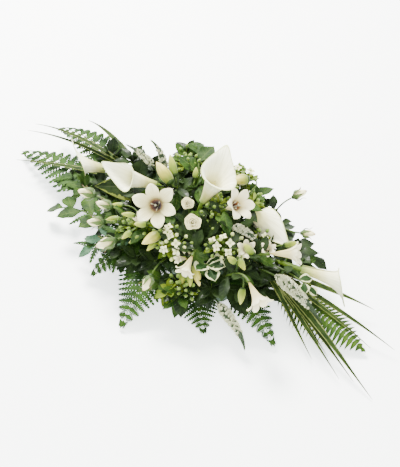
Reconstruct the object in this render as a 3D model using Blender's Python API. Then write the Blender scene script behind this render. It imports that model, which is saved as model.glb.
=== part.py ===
"""A double-ended flower spray: callas, freesias, roses, veronica and ferns in a tray of floral foam.

Metres, +Z up. The origin is the middle of the tray's underside, X runs along the spray and the
front is at -Y. Every stem stands in a plain hole in the foam and radiates outwards.
"""
import math
import random

import bmesh
import bpy
from mathutils import Matrix, Vector
from mathutils.bvhtree import BVHTree

# Tray and foam
TRAY_LENGTH = 0.212
TRAY_WIDTH = 0.110
TRAY_HEIGHT = 0.020
TRAY_WALL = 0.002
TRAY_CORNER = 0.016
FOAM_LENGTH = 0.190
FOAM_WIDTH = 0.088
FOAM_TOP = 0.064
FOAM_CHAMFER = 0.006
SIDE_STEM_HEIGHT = 0.036
STEM_SINK = 0.014
STEM_CLEAR = 0.005
GAP = 0.0003

# Flowers
CALLA_NECK = 0.0052
FREESIA_LENGTH = 0.048
FREESIA_SPREAD = 0.033
BLOOM_SEAT = 0.0005
PETAL_THICK = 0.0009
LEAF_THICK = 0.0009
BLADE_THICK = 0.0010
LEAF_SAG = 0.18

# How far a tuft's leaves lean from its stem, and the turns and nods that each one tries
TUFT_TILTS = (62, 86, 74)
TUFT_TRIES = [(swing, nod) for nod in (0, 14, -16, 28, -30) for swing in (0, 12, -12, 24, -24)]
TUFT_LENGTH = 0.060
TUFT_WIDTH = 0.029
LEAF_MARGIN = 0.0022

# Radii of the stems
CALLA_STEM = 0.0036
FREESIA_STEM = 0.0017
BUD_BRANCH = 0.0012
ROSE_STEM = 0.0016
ROSE_BRANCH = 0.0012
FINE_STEM = 0.0014
TUFT_STEM = 0.0020
BLADE_STUB = 0.0022
STALK_TIP = 0.0009
FINE_STALK = 0.0007

# Colours that several pieces share
FERN_GREEN = (0.10, 0.22, 0.06)
DARK_GREEN = (0.03, 0.09, 0.03)
MID_GREEN = (0.13, 0.26, 0.08)
GLAUCOUS = (0.32, 0.45, 0.32)
FLORET_GREEN = (0.62, 0.68, 0.38)
BERRY_GREEN = (0.38, 0.52, 0.16)

# How a bud swells on its branch: shares of its length and of its widest radius
FREESIA_SWELL = ((0.05, 0.42), (0.36, 1.0), (0.74, 0.74), (1.0, 0.0))
ROSE_SWELL = ((0.10, 0.50), (0.22, 0.46), (0.36, 0.92), (0.60, 1.0), (0.84, 0.62), (1.12, 0.0))
ROSE_GIRTH = 0.27
ROSE_RELIEF = 0.12

# Widths of a leaf, evenly spaced from its root to its tip
BROAD_LEAF = (0.10, 0.66, 1.0, 0.74, 0.0)
TUFT_LEAF = (0.10, 0.86, 0.92, 0.0)
LONG_LEAF = (0.10, 0.88, 1.0, 0.60, 0.0)

# The way the long leaf's upper face looks, and how far the stalks of a cluster lean, in radians
LONG_LEAF_UP = Vector((0.1, -0.5, 0.85))
CLUSTER_SPREAD = 0.8

MERGE = 0.00002
UP = Vector((0.0, 0.0, 1.0))
obstacles = []


# Scene and finishes

def clear_scene():
    """Remove whatever objects the file starts with."""
    for item in list(bpy.data.objects):
        bpy.data.objects.remove(item, do_unlink=True)


def finish(name, colour, roughness):
    """A plain Principled material."""
    material = bpy.data.materials.new(name)
    material.use_nodes = True
    shader = material.node_tree.nodes["Principled BSDF"]
    shader.inputs["Base Color"].default_value = (*colour, 1.0)
    shader.inputs["Roughness"].default_value = roughness
    shader.inputs["Metallic"].default_value = 0.0
    return material


def add_solid(name, mesh, colour, roughness):
    """Put a closed mesh into the scene under its node's name, in its own finish."""
    mesh.name = name
    mesh.materials.clear()
    mesh.materials.append(finish(name + "_finish", colour, roughness))
    mesh.shade_smooth()
    mesh.set_sharp_from_angle(angle=math.radians(40))
    item = bpy.data.objects.new(name, mesh)
    bpy.context.collection.objects.link(item)
    note_obstacle(mesh)
    return item


def note_obstacle(mesh):
    """Remember where a finished solid lies, for the leaves that are bent clear of it."""
    corners = [vert.co.copy() for vert in mesh.vertices]
    obstacles.append(BVHTree.FromPolygons(corners, [tuple(f.vertices) for f in mesh.polygons]))


def is_clear(bm):
    """Whether a shape crosses none of the solids placed so far."""
    tree = BVHTree.FromBMesh(bm)
    return not any(tree.overlap(other) for other in obstacles)


# Shape helpers

def sheet(across, along, place):
    """A grid whose points are set by place(u, v), each of u and v from 0 to 1."""
    bm = bmesh.new()
    bmesh.ops.create_grid(bm, x_segments=across, y_segments=along, size=0.5)
    for vert in bm.verts:
        vert.co = place(vert.co.x + 0.5, vert.co.y + 0.5)
    bmesh.ops.remove_doubles(bm, verts=bm.verts[:], dist=MERGE)
    return bm


def thicken(bm, thickness):
    """Give an open sheet its thickness, split into triangles alike on both faces."""
    bmesh.ops.triangulate(bm, faces=bm.faces[:])
    bmesh.ops.solidify(bm, geom=bm.faces[:], thickness=thickness)
    bmesh.ops.recalc_face_normals(bm, faces=bm.faces[:])
    return bm


def close_ends(bm):
    """Cap the open rings of a tube."""
    rims = [edge for edge in bm.edges if edge.is_boundary]
    if rims:
        bmesh.ops.holes_fill(bm, edges=rims, sides=0)
    bmesh.ops.recalc_face_normals(bm, faces=bm.faces[:])
    return bm


def carry_frames(points, side):
    """A point, sideways vector and outward vector at each point of a path, without twisting."""
    frames = []
    for i, point in enumerate(points):
        before = points[max(i - 1, 0)]
        after = points[min(i + 1, len(points) - 1)]
        tangent = (after - before).normalized()
        side = (side - tangent * side.dot(tangent)).normalized()
        frames.append((point, side, tangent.cross(side)))
    return frames


def tube(points, radius, sides):
    """A round stem along points; radius(t, angle) gives its radius, and 0 closes it to a tip."""
    way = (points[1] - points[0]).normalized()
    frames = carry_frames(points, way.orthogonal())
    last = len(points) - 1

    def place(u, v):
        point, side, over = frames[round(v * last)]
        angle = math.tau * u
        reach = radius(v, angle)
        return point + side * (reach * math.cos(angle)) + over * (reach * math.sin(angle))

    return close_ends(sheet(sides, last, place))


def stand(base, aim, side):
    """A matrix whose Z looks along aim and whose X leans towards side."""
    z = aim.normalized()
    x = (side - z * side.dot(z)).normalized()
    matrix = Matrix((x, z.cross(x), z)).transposed().to_4x4()
    matrix.translation = base
    return matrix


def bead(matrix, length, radius, sides, rings, belly=0.8):
    """A closed bud or berry on matrix's Z axis, widest below the middle where belly is under 1."""
    def place(u, v):
        angle = math.tau * u
        reach = radius * math.sin(math.pi * v ** belly) ** 0.75 if 0 < v < 1 else 0.0
        return matrix @ Vector((reach * math.cos(angle), reach * math.sin(angle), length * v))

    return close_ends(sheet(sides, rings, place))


def as_mesh(bm, name):
    """Turn a bmesh into a mesh and free it."""
    mesh = bpy.data.meshes.new(name)
    bm.to_mesh(mesh)
    bm.free()
    return mesh


def body_volume(faces):
    """The signed volume inside a set of triangles."""
    total = 0.0
    for face in faces:
        a, b, c = (vert.co for vert in face.verts)
        total += a.dot(b.cross(c)) / 6
    return total


def keep_largest_body(mesh):
    """Fill the sealed hollows that a union leaves and drop its loose scraps."""
    bm = bmesh.new()
    bm.from_mesh(mesh)
    bmesh.ops.triangulate(bm, faces=bm.faces[:])
    left = set(bm.faces)
    bodies = []
    while left:
        start = left.pop()
        body = [start]
        queue = [start]
        while queue:
            face = queue.pop()
            for edge in face.edges:
                for other in edge.link_faces:
                    if other in left:
                        left.remove(other)
                        body.append(other)
                        queue.append(other)
        bodies.append(body)
    bodies.sort(key=body_volume)
    loose = [face for body in bodies[:-1] for face in body]
    bmesh.ops.delete(bm, geom=loose, context="FACES")
    bm.to_mesh(mesh)
    bm.free()
    return mesh


def fuse(pieces, name):
    """Join the closed shapes of one node into one body."""
    solids = []
    for bm in pieces:
        item = bpy.data.objects.new(name + "_piece", as_mesh(bm, name + "_piece"))
        bpy.context.collection.objects.link(item)
        solids.append(item)
    group = bpy.data.collections.new(name + "_pieces")
    bpy.context.scene.collection.children.link(group)
    for item in solids[1:]:
        group.objects.link(item)
    join = solids[0].modifiers.new("join", "BOOLEAN")
    join.operation = "UNION"
    join.operand_type = "COLLECTION"
    join.collection = group
    join.solver = "EXACT"
    graph = bpy.context.evaluated_depsgraph_get()
    mesh = bpy.data.meshes.new_from_object(solids[0].evaluated_get(graph))
    for item in solids:
        bpy.data.objects.remove(item, do_unlink=True)
    bpy.data.collections.remove(group)
    return keep_largest_body(mesh)


# Stems and the foam they stand in

FACE_NORMALS = {
    "top": Vector((0.0, 0.0, 1.0)),
    "front": Vector((0.0, -1.0, 0.0)),
    "back": Vector((0.0, 1.0, 0.0)),
    "left": Vector((-1.0, 0.0, 0.0)),
    "right": Vector((1.0, 0.0, 0.0)),
}
FOOT_SPREAD_X = 0.52
FOOT_SPREAD_Y = 0.45
FOOT_MARGIN = 0.012
HOLE_OVERRUN = 0.012
holes = []


def clamp(value, limit):
    """Keep value between -limit and limit."""
    return max(-limit, min(limit, value))


def foot_on_foam(face, head, foot=None):
    """Where a stem leaves the foam: its head's place, drawn in towards the block.

    foot, where given, sets the two coordinates in the face by hand.
    """
    x = clamp(head.x * FOOT_SPREAD_X, FOAM_LENGTH / 2 - FOOT_MARGIN)
    y = clamp(head.y * FOOT_SPREAD_Y, FOAM_WIDTH / 2 - FOOT_MARGIN)
    z = SIDE_STEM_HEIGHT + clamp(head.z - 0.05, 0.06) * 0.25
    if face == "top":
        x, y = foot or (x, y)
        return Vector((x, y, FOAM_TOP))
    if face in ("front", "back"):
        x, z = foot or (x, z)
        return Vector((x, FACE_NORMALS[face].y * FOAM_WIDTH / 2, z))
    y, z = foot or (y, z)
    return Vector((FACE_NORMALS[face].x * FOAM_LENGTH / 2, y, z))


def bezier(a, b, c, d, t):
    """A point on a cubic curve."""
    s = 1 - t
    return a * s ** 3 + b * (3 * s * s * t) + c * (3 * s * t * t) + d * t ** 3


def stem_curve(face, head, aim, radius, foot=None, handles=None):
    """The curve of a stem from the foam to its head, and its end inside the foam.

    The hole it stands in is noted for the foam. handles, where given, are the two points that
    the curve bends towards.
    """
    foot = foot_on_foam(face, head, foot)
    way = ((head - foot).normalized() + FACE_NORMALS[face] * 0.7).normalized()
    root = foot - way * STEM_SINK
    holes.append((root, foot, way, radius))
    foot = foot + way * STEM_CLEAR
    span = (head - foot).length
    b, c = handles or (foot + way * span * 0.35, head - aim.normalized() * span * 0.35)

    def curve(t):
        return bezier(foot, b, c, head, t)

    return root, curve


def stem_points(root, curve, steps, until=1.0):
    """The points of a stem: straight out of the foam, then along its curve."""
    return [root] + [curve(until * i / steps) for i in range(steps + 1)]


def fork_points(curve, start_at, end, aim, steps=3):
    """The points of a side branch that leaves a stem and turns to meet its head."""
    start = curve(start_at)
    knee = end - aim * (end - start).length * 0.4
    return [bezier(start, start.lerp(knee, 0.5), knee, end, i / steps) for i in range(steps + 1)]


def bud_branch(points, aim, length, radius, swell, stalk, relief=0.0):
    """A side branch that swells into a bud, in one closed surface.

    relief is the depth of the twisted petals on it, as a share of its radius.
    """
    base = points[-1]
    path = points + [base + aim * (length * share) for share, wide in swell]
    bare = len(points)
    last = len(path) - 1

    def reach(t, angle):
        ring = round(t * last)
        if ring < bare:
            return stalk
        share, wide = swell[ring - bare]
        return radius * wide * (1 + relief * share * math.cos(3 * angle + 4 * share))

    return tube(path, reach, 5)


def build_foam():
    """The block of wet foam, with a plain hole round each stem."""
    bm = bmesh.new()
    bmesh.ops.create_cube(bm, size=1.0)
    floor = TRAY_WALL + GAP
    height = FOAM_TOP - floor
    bmesh.ops.scale(bm, verts=bm.verts[:], vec=(FOAM_LENGTH, FOAM_WIDTH, height))
    bmesh.ops.translate(bm, verts=bm.verts[:], vec=(0, 0, floor + height / 2))
    upper = [e for e in bm.edges if min(v.co.z for v in e.verts) > FOAM_TOP - MERGE]
    bmesh.ops.bevel(bm, geom=upper, offset=FOAM_CHAMFER, segments=1, profile=0.5,
                    affect="EDGES", material=-1)
    block = bpy.data.objects.new("foam_piece", as_mesh(bm, "foam_piece"))
    bpy.context.collection.objects.link(block)
    group = bpy.data.collections.new("foam_holes")
    bpy.context.scene.collection.children.link(group)
    cutters = []
    for root, foot, way, radius in holes:
        reach = (radius + GAP) / math.cos(math.pi / 4)
        ends = [root - way * 2 * GAP, foot + way * HOLE_OVERRUN]
        cutter = bpy.data.objects.new("hole", as_mesh(tube(ends, lambda t, a: reach, 4), "hole"))
        group.objects.link(cutter)
        cutters.append(cutter)
    cut = block.modifiers.new("holes", "BOOLEAN")
    cut.operation = "DIFFERENCE"
    cut.operand_type = "COLLECTION"
    cut.collection = group
    cut.solver = "EXACT"
    graph = bpy.context.evaluated_depsgraph_get()
    mesh = bpy.data.meshes.new_from_object(block.evaluated_get(graph))
    for item in cutters + [block]:
        bpy.data.objects.remove(item, do_unlink=True)
    bpy.data.collections.remove(group)
    add_solid("foam_block", keep_largest_body(mesh), (0.055, 0.105, 0.045), 0.95)


def build_tray():
    """The low plastic tray: a rounded slab with its top face inset and sunk."""
    bm = bmesh.new()
    bmesh.ops.create_cube(bm, size=1.0)
    bmesh.ops.scale(bm, verts=bm.verts[:], vec=(TRAY_LENGTH, TRAY_WIDTH, TRAY_HEIGHT))
    bmesh.ops.translate(bm, verts=bm.verts[:], vec=(0, 0, TRAY_HEIGHT / 2))
    upright = [e for e in bm.edges if abs(e.verts[0].co.z - e.verts[1].co.z) > MERGE]
    bmesh.ops.bevel(bm, geom=upright, offset=TRAY_CORNER, segments=3, profile=0.5,
                    affect="EDGES", material=-1)
    top = [f for f in bm.faces if f.normal.z > 0.9]
    bmesh.ops.inset_region(bm, faces=top, thickness=TRAY_WALL)
    sunk = bmesh.ops.extrude_face_region(bm, geom=top)["geom"]
    verts = [g for g in sunk if isinstance(g, bmesh.types.BMVert)]
    bmesh.ops.translate(bm, verts=verts, vec=(0, 0, TRAY_WALL - TRAY_HEIGHT))
    bmesh.ops.delete(bm, geom=top, context="FACES_ONLY")
    bmesh.ops.recalc_face_normals(bm, faces=bm.faces[:])
    add_solid("spray_tray", as_mesh(bm, "spray_tray"), (0.03, 0.09, 0.04), 0.45)


# Callas

def spathe(length, mouth, around, along, low):
    """A calla's white funnel, its long side at +X, flared to a drawn-out tip.

    low is the height of its short side as a share of its long one.
    """
    def place(u, v):
        angle = math.tau * u
        back = (1 + math.cos(angle)) / 2
        flare = CALLA_NECK + (mouth - CALLA_NECK) * v ** 1.4 + 0.004 * v ** 7
        height = length * v * (low + (1 - low) * back ** 1.5)
        tip = back ** 7 * v ** 5
        x = flare * math.cos(angle) * (1 + 0.25 * tip) + length * 0.18 * tip
        z = height - 0.05 * length * v ** 8 * (1 - back)
        return Vector((x, flare * math.sin(angle) * (1 - 0.1 * tip), z))

    return sheet(around, along, place)


def build_calla(name, face, base, aim, side, length, mouth, foot=None, low=0.58):
    """A calla: its spathe, and the thick stem that ends inside it in the spadix."""
    white = spathe(length, mouth, 10, 4, low)
    thicken(white, PETAL_THICK)
    white.transform(stand(base, aim, side))
    add_solid(name + "_spathe", as_mesh(white, name), (0.90, 0.89, 0.80), 0.45)
    aim = aim.normalized()
    root, curve = stem_curve(face, base, aim, CALLA_STEM, foot)
    points = stem_points(root, curve, 4)
    stem_rings = len(points) - 1
    points += [base + aim * length * part for part in (0.16, 0.44, 0.52)]
    last = len(points) - 1

    def radius(t, angle):
        ring = round(t * last)
        if ring <= stem_rings:
            return CALLA_STEM
        return (CALLA_STEM * 0.9, CALLA_STEM * 0.72, 0.0)[ring - stem_rings - 1]

    stem = tube(points, radius, 5)
    add_solid(name + "_stem", as_mesh(stem, name), (0.22, 0.38, 0.10), 0.5)


# Freesias

def freesia_sheet(length, spread):
    """Six petals, joined in a funnel to their notches."""
    reaches = (0.0, 0.14, 0.34, 0.66, 0.90, 1.0)
    heights = (0.0, 0.20, 0.62, 0.86, 0.93, 0.90)
    widths = (10, 16, 27, 28, 19, 6)
    last = len(reaches) - 1

    def place(u, v):
        column = round(u * 18)
        row = round(v * last)
        petal, part = divmod(column, 3)
        middle = 60 * petal + 30
        offset = (-30, -widths[row], widths[row])[part]
        angle = math.radians(middle + offset)
        layer = 0.0016 * (petal % 2) if row > 2 and part else 0.0
        reach = spread * reaches[row] * (1 - 0.06 * (petal % 2))
        return Vector((reach * math.cos(angle), reach * math.sin(angle),
                       length * heights[row] + layer))

    bm = bmesh.new()
    bmesh.ops.create_grid(bm, x_segments=18, y_segments=last, size=0.5)
    between = []
    for face in bm.faces:
        centre = face.calc_center_median()
        column = int((centre.x + 0.5) * 18)
        row = int((centre.y + 0.5) * last)
        if row >= 2 and column % 3 != 1:
            between.append(face)
    bmesh.ops.delete(bm, geom=between, context="FACES")
    for vert in bm.verts:
        vert.co = place(vert.co.x + 0.5, vert.co.y + 0.5)
    bmesh.ops.remove_doubles(bm, verts=bm.verts[:], dist=MERGE)
    return bm


def build_freesia(name, face, base, aim, buds, size=1.0, spread=1.0, foot=None):
    """A freesia: its funnel flower, and the stem with its comb of buds."""
    aim = aim.normalized()
    bloom = freesia_sheet(FREESIA_LENGTH * size, FREESIA_SPREAD * size * spread)
    thicken(bloom, PETAL_THICK)
    bloom.transform(stand(base, aim, aim.orthogonal()))
    add_solid(name + "_bloom", as_mesh(bloom, name), (0.90, 0.87, 0.72), 0.5)
    build_bud_stem(name + "_stem", face, base - aim * BLOOM_SEAT, aim, buds, foot, 0.0030)


def build_bud_stem(name, face, head, aim, buds, foot=None, end_radius=FREESIA_STEM):
    """A green stem with yellow-green buds on short branches.

    buds lists (share of the stem where it forks, base, tip, radius).
    """
    root, curve = stem_curve(face, head, aim.normalized(), FREESIA_STEM, foot)
    points = stem_points(root, curve, 4)
    last = len(points) - 1

    def radius(t, angle):
        return end_radius if round(t * last) == last else FREESIA_STEM

    pieces = [tube(points, radius, 4)]
    for fork, base, tip, girth in buds:
        way = (tip - base).normalized()
        branch = fork_points(curve, fork, base, way, 2)
        pieces.append(bud_branch(branch, way, (tip - base).length, girth, FREESIA_SWELL,
                                 BUD_BRANCH))
    add_solid(name, fuse(pieces, name), (0.42, 0.50, 0.12), 0.5)


# Roses

def build_open_rose(name, base, aim, radius, turns, columns):
    """A small open rose: one ruffled sheet of petals, wound outwards from its heart."""
    aim = aim.normalized()
    frame = stand(base, aim, aim.orthogonal())
    pitch = 0.0016

    def place(u, v):
        angle = math.tau * turns * u
        scallop = abs(math.sin(2.5 * angle / 2))
        low = 0.0012 + pitch * turns * u
        high = 0.0016 + (radius - 0.0016) * u ** 0.8
        reach = low + (high - low) * v ** 1.4
        height = radius * (1.15 - 0.55 * u * u) * (0.88 + 0.12 * scallop)
        return frame @ Vector((reach * math.cos(angle), reach * math.sin(angle), height * v))

    bloom = thicken(sheet(columns, 2, place), PETAL_THICK)
    add_solid(name, as_mesh(bloom, name), (0.90, 0.86, 0.74), 0.6)


def build_rose_buds(name, face, fork, heads, foot=None):
    """A forked rose stem with a bud in its calyx at the end of each branch.

    heads lists (base, aim, bud length).
    """
    way = fork - foot_on_foam(face, fork, foot)
    root, curve = stem_curve(face, fork, way, ROSE_STEM, foot)
    pieces = [tube(stem_points(root, curve, 3), lambda t, a: ROSE_STEM, 4)]
    for i, (base, aim, length) in enumerate(heads):
        aim = aim.normalized()
        points = fork_points(curve, 0.98 - 0.12 * i, base, aim, 2)
        pieces.append(bud_branch(points, aim, length, length * ROSE_GIRTH, ROSE_SWELL,
                                 ROSE_BRANCH, ROSE_RELIEF))
    add_solid(name, fuse(pieces, name), (0.62, 0.68, 0.42), 0.5)


def build_rose_stem(name, face, fork, heads):
    """The forked stem under the open roses, each branch ending in a small hip.

    heads lists (base, aim, radius of the hip).
    """
    root, curve = stem_curve(face, fork, fork - foot_on_foam(face, fork), ROSE_STEM)
    pieces = [tube(stem_points(root, curve, 3), lambda t, a: ROSE_STEM, 5)]
    for base, aim, radius in heads:
        aim = aim.normalized()
        frame = stand(base - aim * (radius * 1.6 + GAP), aim, aim.orthogonal())
        rim = [frame @ Vector((0, 0, radius * part)) for part in (0.0, 0.5, 1.3, 1.6)]
        swell = (0.3, 0.8, 1.0, 0.9)
        pieces.append(tube(rim, lambda t, a, r=radius: r * swell[round(t * 3)], 6))
        points = fork_points(curve, 0.9, frame @ Vector((0, 0, radius * 0.3)), aim)
        pieces.append(tube(points, lambda t, a: ROSE_BRANCH, 4))
    add_solid(name, fuse(pieces, name), (0.25, 0.42, 0.12), 0.5)


# Veronica

def veronica_spike(points, curve, start, girth):
    """A stem along points, then along the rest of its curve as a spike of raised florets."""
    bare = len(points) - 1
    rows = 9
    points = points + [curve(start + (1 - start) * i / rows) for i in range(1, rows + 1)]
    last = len(points) - 1

    def radius(t, angle):
        ring = round(t * last)
        if ring <= bare:
            return FINE_STEM
        if ring == last:
            return 0.0
        share = (ring - bare) / rows
        body = girth * min(1.0, 4 * share) * (1 - share ** 1.6 * 0.85)
        column = round(angle / math.tau * 6)
        return body * (1.0 if (ring + column) % 2 else 0.72)

    return tube(points, radius, 6)


def build_veronica(name, face, tip, spike, girth, aim, foot=None, twin=None, handles=None):
    """A veronica: a stem that ends in a spike of small florets, green at its tip.

    twin is the (tip, aim) of a second spike on a side branch.
    """
    root, curve = stem_curve(face, tip, aim, FINE_STEM, foot, handles)
    length = sum((curve((i + 1) / 20) - curve(i / 20)).length for i in range(20))
    start = 1 - spike / length
    stem = [root] + [curve(start * i / 3) for i in range(4)]
    pieces = [veronica_spike(stem, curve, start, girth)]
    if twin:
        side_tip, side_aim = twin
        fork = curve(start * 0.4)
        knee = side_tip - side_aim.normalized() * (side_tip - fork).length * 0.45

        def side_curve(t):
            return bezier(fork, fork.lerp(knee, 0.5), knee, side_tip, t)

        pieces.append(veronica_spike([fork, side_curve(0.25)], side_curve, 0.4, girth))
    add_solid(name, fuse(pieces, name), (0.70, 0.72, 0.58), 0.7)


# Leaves and fronds

def rib_frames(curve, start, end, count, up=UP):
    """Point, sideways and upward vectors at count places along a curve."""
    frames = []
    for i in range(count):
        t = start + (end - start) * i / (count - 1)
        tangent = (curve(min(t + 0.02, 1.0)) - curve(max(t - 0.02, 0.0))).normalized()
        side = tangent.cross(up).normalized()
        frames.append((curve(t), side, side.cross(tangent), tangent))
    return frames


def leaf_sheet(curve, width, outline, up=UP):
    """A leaf whose rib follows a curve. outline lists its widths evenly from root to tip."""
    last = len(outline) - 1
    frames = rib_frames(curve, 0.0, 1.0, last + 1, up)

    def place(u, v):
        row = round(v * last)
        point, side, over, tangent = frames[row]
        return point + side * ((2 * u - 1) * width / 2 * outline[row])

    return sheet(1, last, place)


def frond_sheet(curve, start, end, pairs, outline, pinna, sweep, lobes, droop=0.10, up=UP):
    """A fern's blade: leaflets cut to the rib in one thin sheet.

    outline(s) gives a leaflet's length at a share s of the rib. pinna is a leaflet's widest
    width as a share of its spacing, lobes its widths from rib to tip, and sweep its lean in
    degrees from the rib.
    """
    reach = len(lobes)
    columns = 2 * reach + 1
    frames = rib_frames(curve, start, end, 2 * pairs + 1, up)
    spacing = sum((frames[i + 1][0] - frames[i][0]).length for i in range(2 * pairs)) / pairs

    def place(u, v):
        column = round(u * columns)
        line = round(v * 2 * pairs)
        hand = -1 if column <= reach else 1
        step = reach - column if column <= reach else column - reach - 1
        point, side, over, tangent = frames[line]
        rib = 0.0011 * (1 - 0.5 * v)
        if step == 0:
            return point + side * hand * rib
        index = min(line // 2, pairs - 1)
        upper = line - 2 * index
        low = frames[2 * index]
        high = frames[2 * index + 1]
        middle = (low[0] + high[0]) / 2
        share = (index + 0.5) / pairs
        length = outline(share)
        lean = math.radians(sweep + 22 * share)
        way = (low[1] * hand * math.sin(lean) + low[3] * math.cos(lean)).normalized()
        out = length * step / reach
        half = spacing * pinna / 2 * lobes[step - 1] * (1 if upper else -1)
        sink = low[2] * (-droop * out * out / max(length, 0.001))
        return middle + low[1] * hand * rib + way * out + low[3] * half + sink

    bm = bmesh.new()
    bmesh.ops.create_grid(bm, x_segments=columns, y_segments=2 * pairs, size=0.5)
    gaps = []
    for face in bm.faces:
        centre = face.calc_center_median()
        column = int((centre.x + 0.5) * columns)
        row = int((centre.y + 0.5) * 2 * pairs)
        if row % 2 and column != reach:
            gaps.append(face)
    bmesh.ops.delete(bm, geom=gaps, context="FACES")
    for vert in bm.verts:
        vert.co = place(vert.co.x + 0.5, vert.co.y + 0.5)
    bmesh.ops.remove_doubles(bm, verts=bm.verts[:], dist=MERGE)
    return bm


def leather_outline(longest):
    """Leaflets of a leatherleaf frond: long low down, short at the tip."""
    return lambda s: longest * (1.02 - s) ** 0.85


def sword_outline(longest):
    """Leaflets of a sword fern: nearly alike along the blade."""
    return lambda s: longest * min(1.0, 0.55 + 2.2 * s) * (1.03 - s ** 3)


def arch(face, tip, lift, foot=None, dive=0.30):
    """The curve of a long leaf or frond: out of the foam, over, and down to its tip."""
    start = foot_on_foam(face, tip, foot)
    level = Vector((tip.x - start.x, tip.y - start.y, 0)).normalized()
    root, curve = stem_curve(face, tip, level - UP * dive, FINE_STEM, foot)

    def raised(t):
        return curve(t) + UP * (lift * math.sin(math.pi * t))

    return root, raised


def build_fern(name, face, tip, lift, start, longest, pairs, kind, colour, foot=None,
               dive=0.30, up=UP):
    """A fern frond on its stalk."""
    root, curve = arch(face, tip, lift, foot, dive)
    if kind == "sword":
        blade = frond_sheet(curve, start, 1.0, pairs, sword_outline(longest), 0.95, 62,
                            (0.95, 0.0), 0.35, up)
    else:
        lobes = (1.0, 0.72, 0.0) if kind == "leather" else (1.0, 0.0)
        blade = frond_sheet(curve, start, 1.0, pairs, leather_outline(longest), 1.25, 56,
                            lobes, 0.12, up)
    thicken(blade, LEAF_THICK)
    sunk = start + (1 - start) * 0.4 / pairs
    stalk = [root] + [curve(t) for t in (0.0, start * 0.5, start, sunk)]
    stalk_tube = tube(stalk, lambda t, a: FINE_STEM, 4)
    add_solid(name, fuse([blade, stalk_tube], name), colour, 0.55)


def build_sprig(name, face, tip, lift, leaves, length, width, colour, start=0.30, splay=50,
                foot=None, dive=0.30, up=UP, outline=BROAD_LEAF, clusters=()):
    """A leafy stem with leaves on alternate sides and one at its tip.

    clusters lists (share of the stem, head, aim, berries) of the heads of berries that it bears.
    """
    root, curve = arch(face, tip, lift, foot, dive)
    stop = 0.80
    points = stem_points(root, curve, 4, stop)
    last = len(points) - 1
    pieces = [tube(points, lambda t, a: FINE_STEM if round(t * last) < last else STALK_TIP, 4)]
    places = rib_frames(curve, start, stop, leaves, up)
    for i, (point, side, over, tangent) in enumerate(places):
        hand = 1 if i % 2 else -1
        angle = math.radians(splay * (1 - 0.25 * i / leaves))
        way = side * hand * math.sin(angle) + tangent * math.cos(angle) + over * 0.18
        scale = 1 - 0.25 * i / leaves
        if i == leaves - 1:
            way = tangent
        pieces.append(one_leaf(point, way, length * scale, width * scale, outline, up))
    for share, head, aim, berries in clusters:
        aim = aim.normalized()
        branch = fork_points(curve, share, head, aim, 2)
        pieces.append(tube(branch, lambda t, a: STALK_TIP, 4))
        pieces += floret_cluster(head, aim, 0, berries, CLUSTER_SPREAD, random.Random(berries))
    add_solid(name, fuse(pieces, name), colour, 0.5)


def one_leaf(point, way, length, width, outline, up=UP, thickness=LEAF_THICK):
    """A single leaf that starts at point and sags towards its tip."""
    way = way.normalized()

    def curve(t):
        return point + way * (length * t) - UP * (LEAF_SAG * length * t * t)

    return thicken(leaf_sheet(curve, width, outline, up), thickness)


def build_tuft(name, face, head, aim, leaves, turn, foot, long_leaf=None):
    """Broad leaves that spring from the top of a short stem, each bent clear of its neighbours.

    Every leaf tries its own direction first, then turns and tilts in small steps. One with no
    clear place is left out. long_leaf is the (tip, width) of one larger leaf.
    """
    aim = aim.normalized()
    root, curve = stem_curve(face, head, aim, TUFT_STEM, foot)
    pieces = [tube(stem_points(root, curve, 2), lambda t, a: TUFT_STEM, 5)]
    pieces.append(bead(stand(head - aim * 0.004, aim, aim.orthogonal()), 0.008, 0.0034, 6, 3, 1.0))
    frame = stand(head, aim, UP if abs(aim.z) < 0.8 else Vector((1, 0, 0))).to_3x3()
    for i in range(leaves):
        tilt = TUFT_TILTS[i % len(TUFT_TILTS)]
        angle = turn + 360 * i / leaves
        for swing, nod in TUFT_TRIES:
            lean = math.radians(tilt + nod)
            spin = math.radians(angle + swing)
            way = frame @ Vector((math.sin(lean) * math.cos(spin), math.sin(lean) * math.sin(spin),
                                  math.cos(lean)))
            wide = one_leaf(head, way, TUFT_LENGTH, TUFT_WIDTH + 2 * LEAF_MARGIN, TUFT_LEAF,
                            thickness=LEAF_MARGIN)
            free = is_clear(wide) and min(v.co.z for v in wide.verts) > TRAY_WALL
            wide.free()
            if free:
                pieces.append(one_leaf(head, way, TUFT_LENGTH, TUFT_WIDTH, TUFT_LEAF))
                break
    if long_leaf:
        tip, width = long_leaf
        way = tip - head
        way.z += LEAF_SAG * way.length
        pieces.append(one_leaf(head, way, way.length, width, LONG_LEAF, LONG_LEAF_UP))
    add_solid(name, fuse(pieces, name), DARK_GREEN, 0.5)


def build_blades(name, face, tips, colour, foot=None):
    """Long narrow leaves that spring from one stub in the foam. tips lists (tip, lift, width)."""
    middle = sum((row[0] for row in tips), Vector()) / len(tips)
    root, curve = stem_curve(face, middle, UP, BLADE_STUB, foot)
    foot = curve(0.0)
    way = (foot - root).normalized()
    neck = foot + way * 0.008
    pieces = [tube([root, foot, neck], lambda t, a: BLADE_STUB, 6)]
    for tip, lift, width in tips:
        span = (tip - foot).length
        level = Vector((tip.x - foot.x, tip.y - foot.y, 0)).normalized()
        start = foot + way * 0.004
        out = (way + (tip - start).normalized()).normalized()
        knee = start + out * span * 0.30 + UP * lift
        fall = tip - (level - UP * 0.25) * span * 0.35 + UP * lift * 0.5

        def curve_to(t, start=start, knee=knee, fall=fall, tip=tip):
            return bezier(start, knee, fall, tip, t)

        pieces.append(thicken(strap_sheet(curve_to, width, 6), BLADE_THICK))
    add_solid(name, fuse(pieces, name), colour, 0.5)


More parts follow.
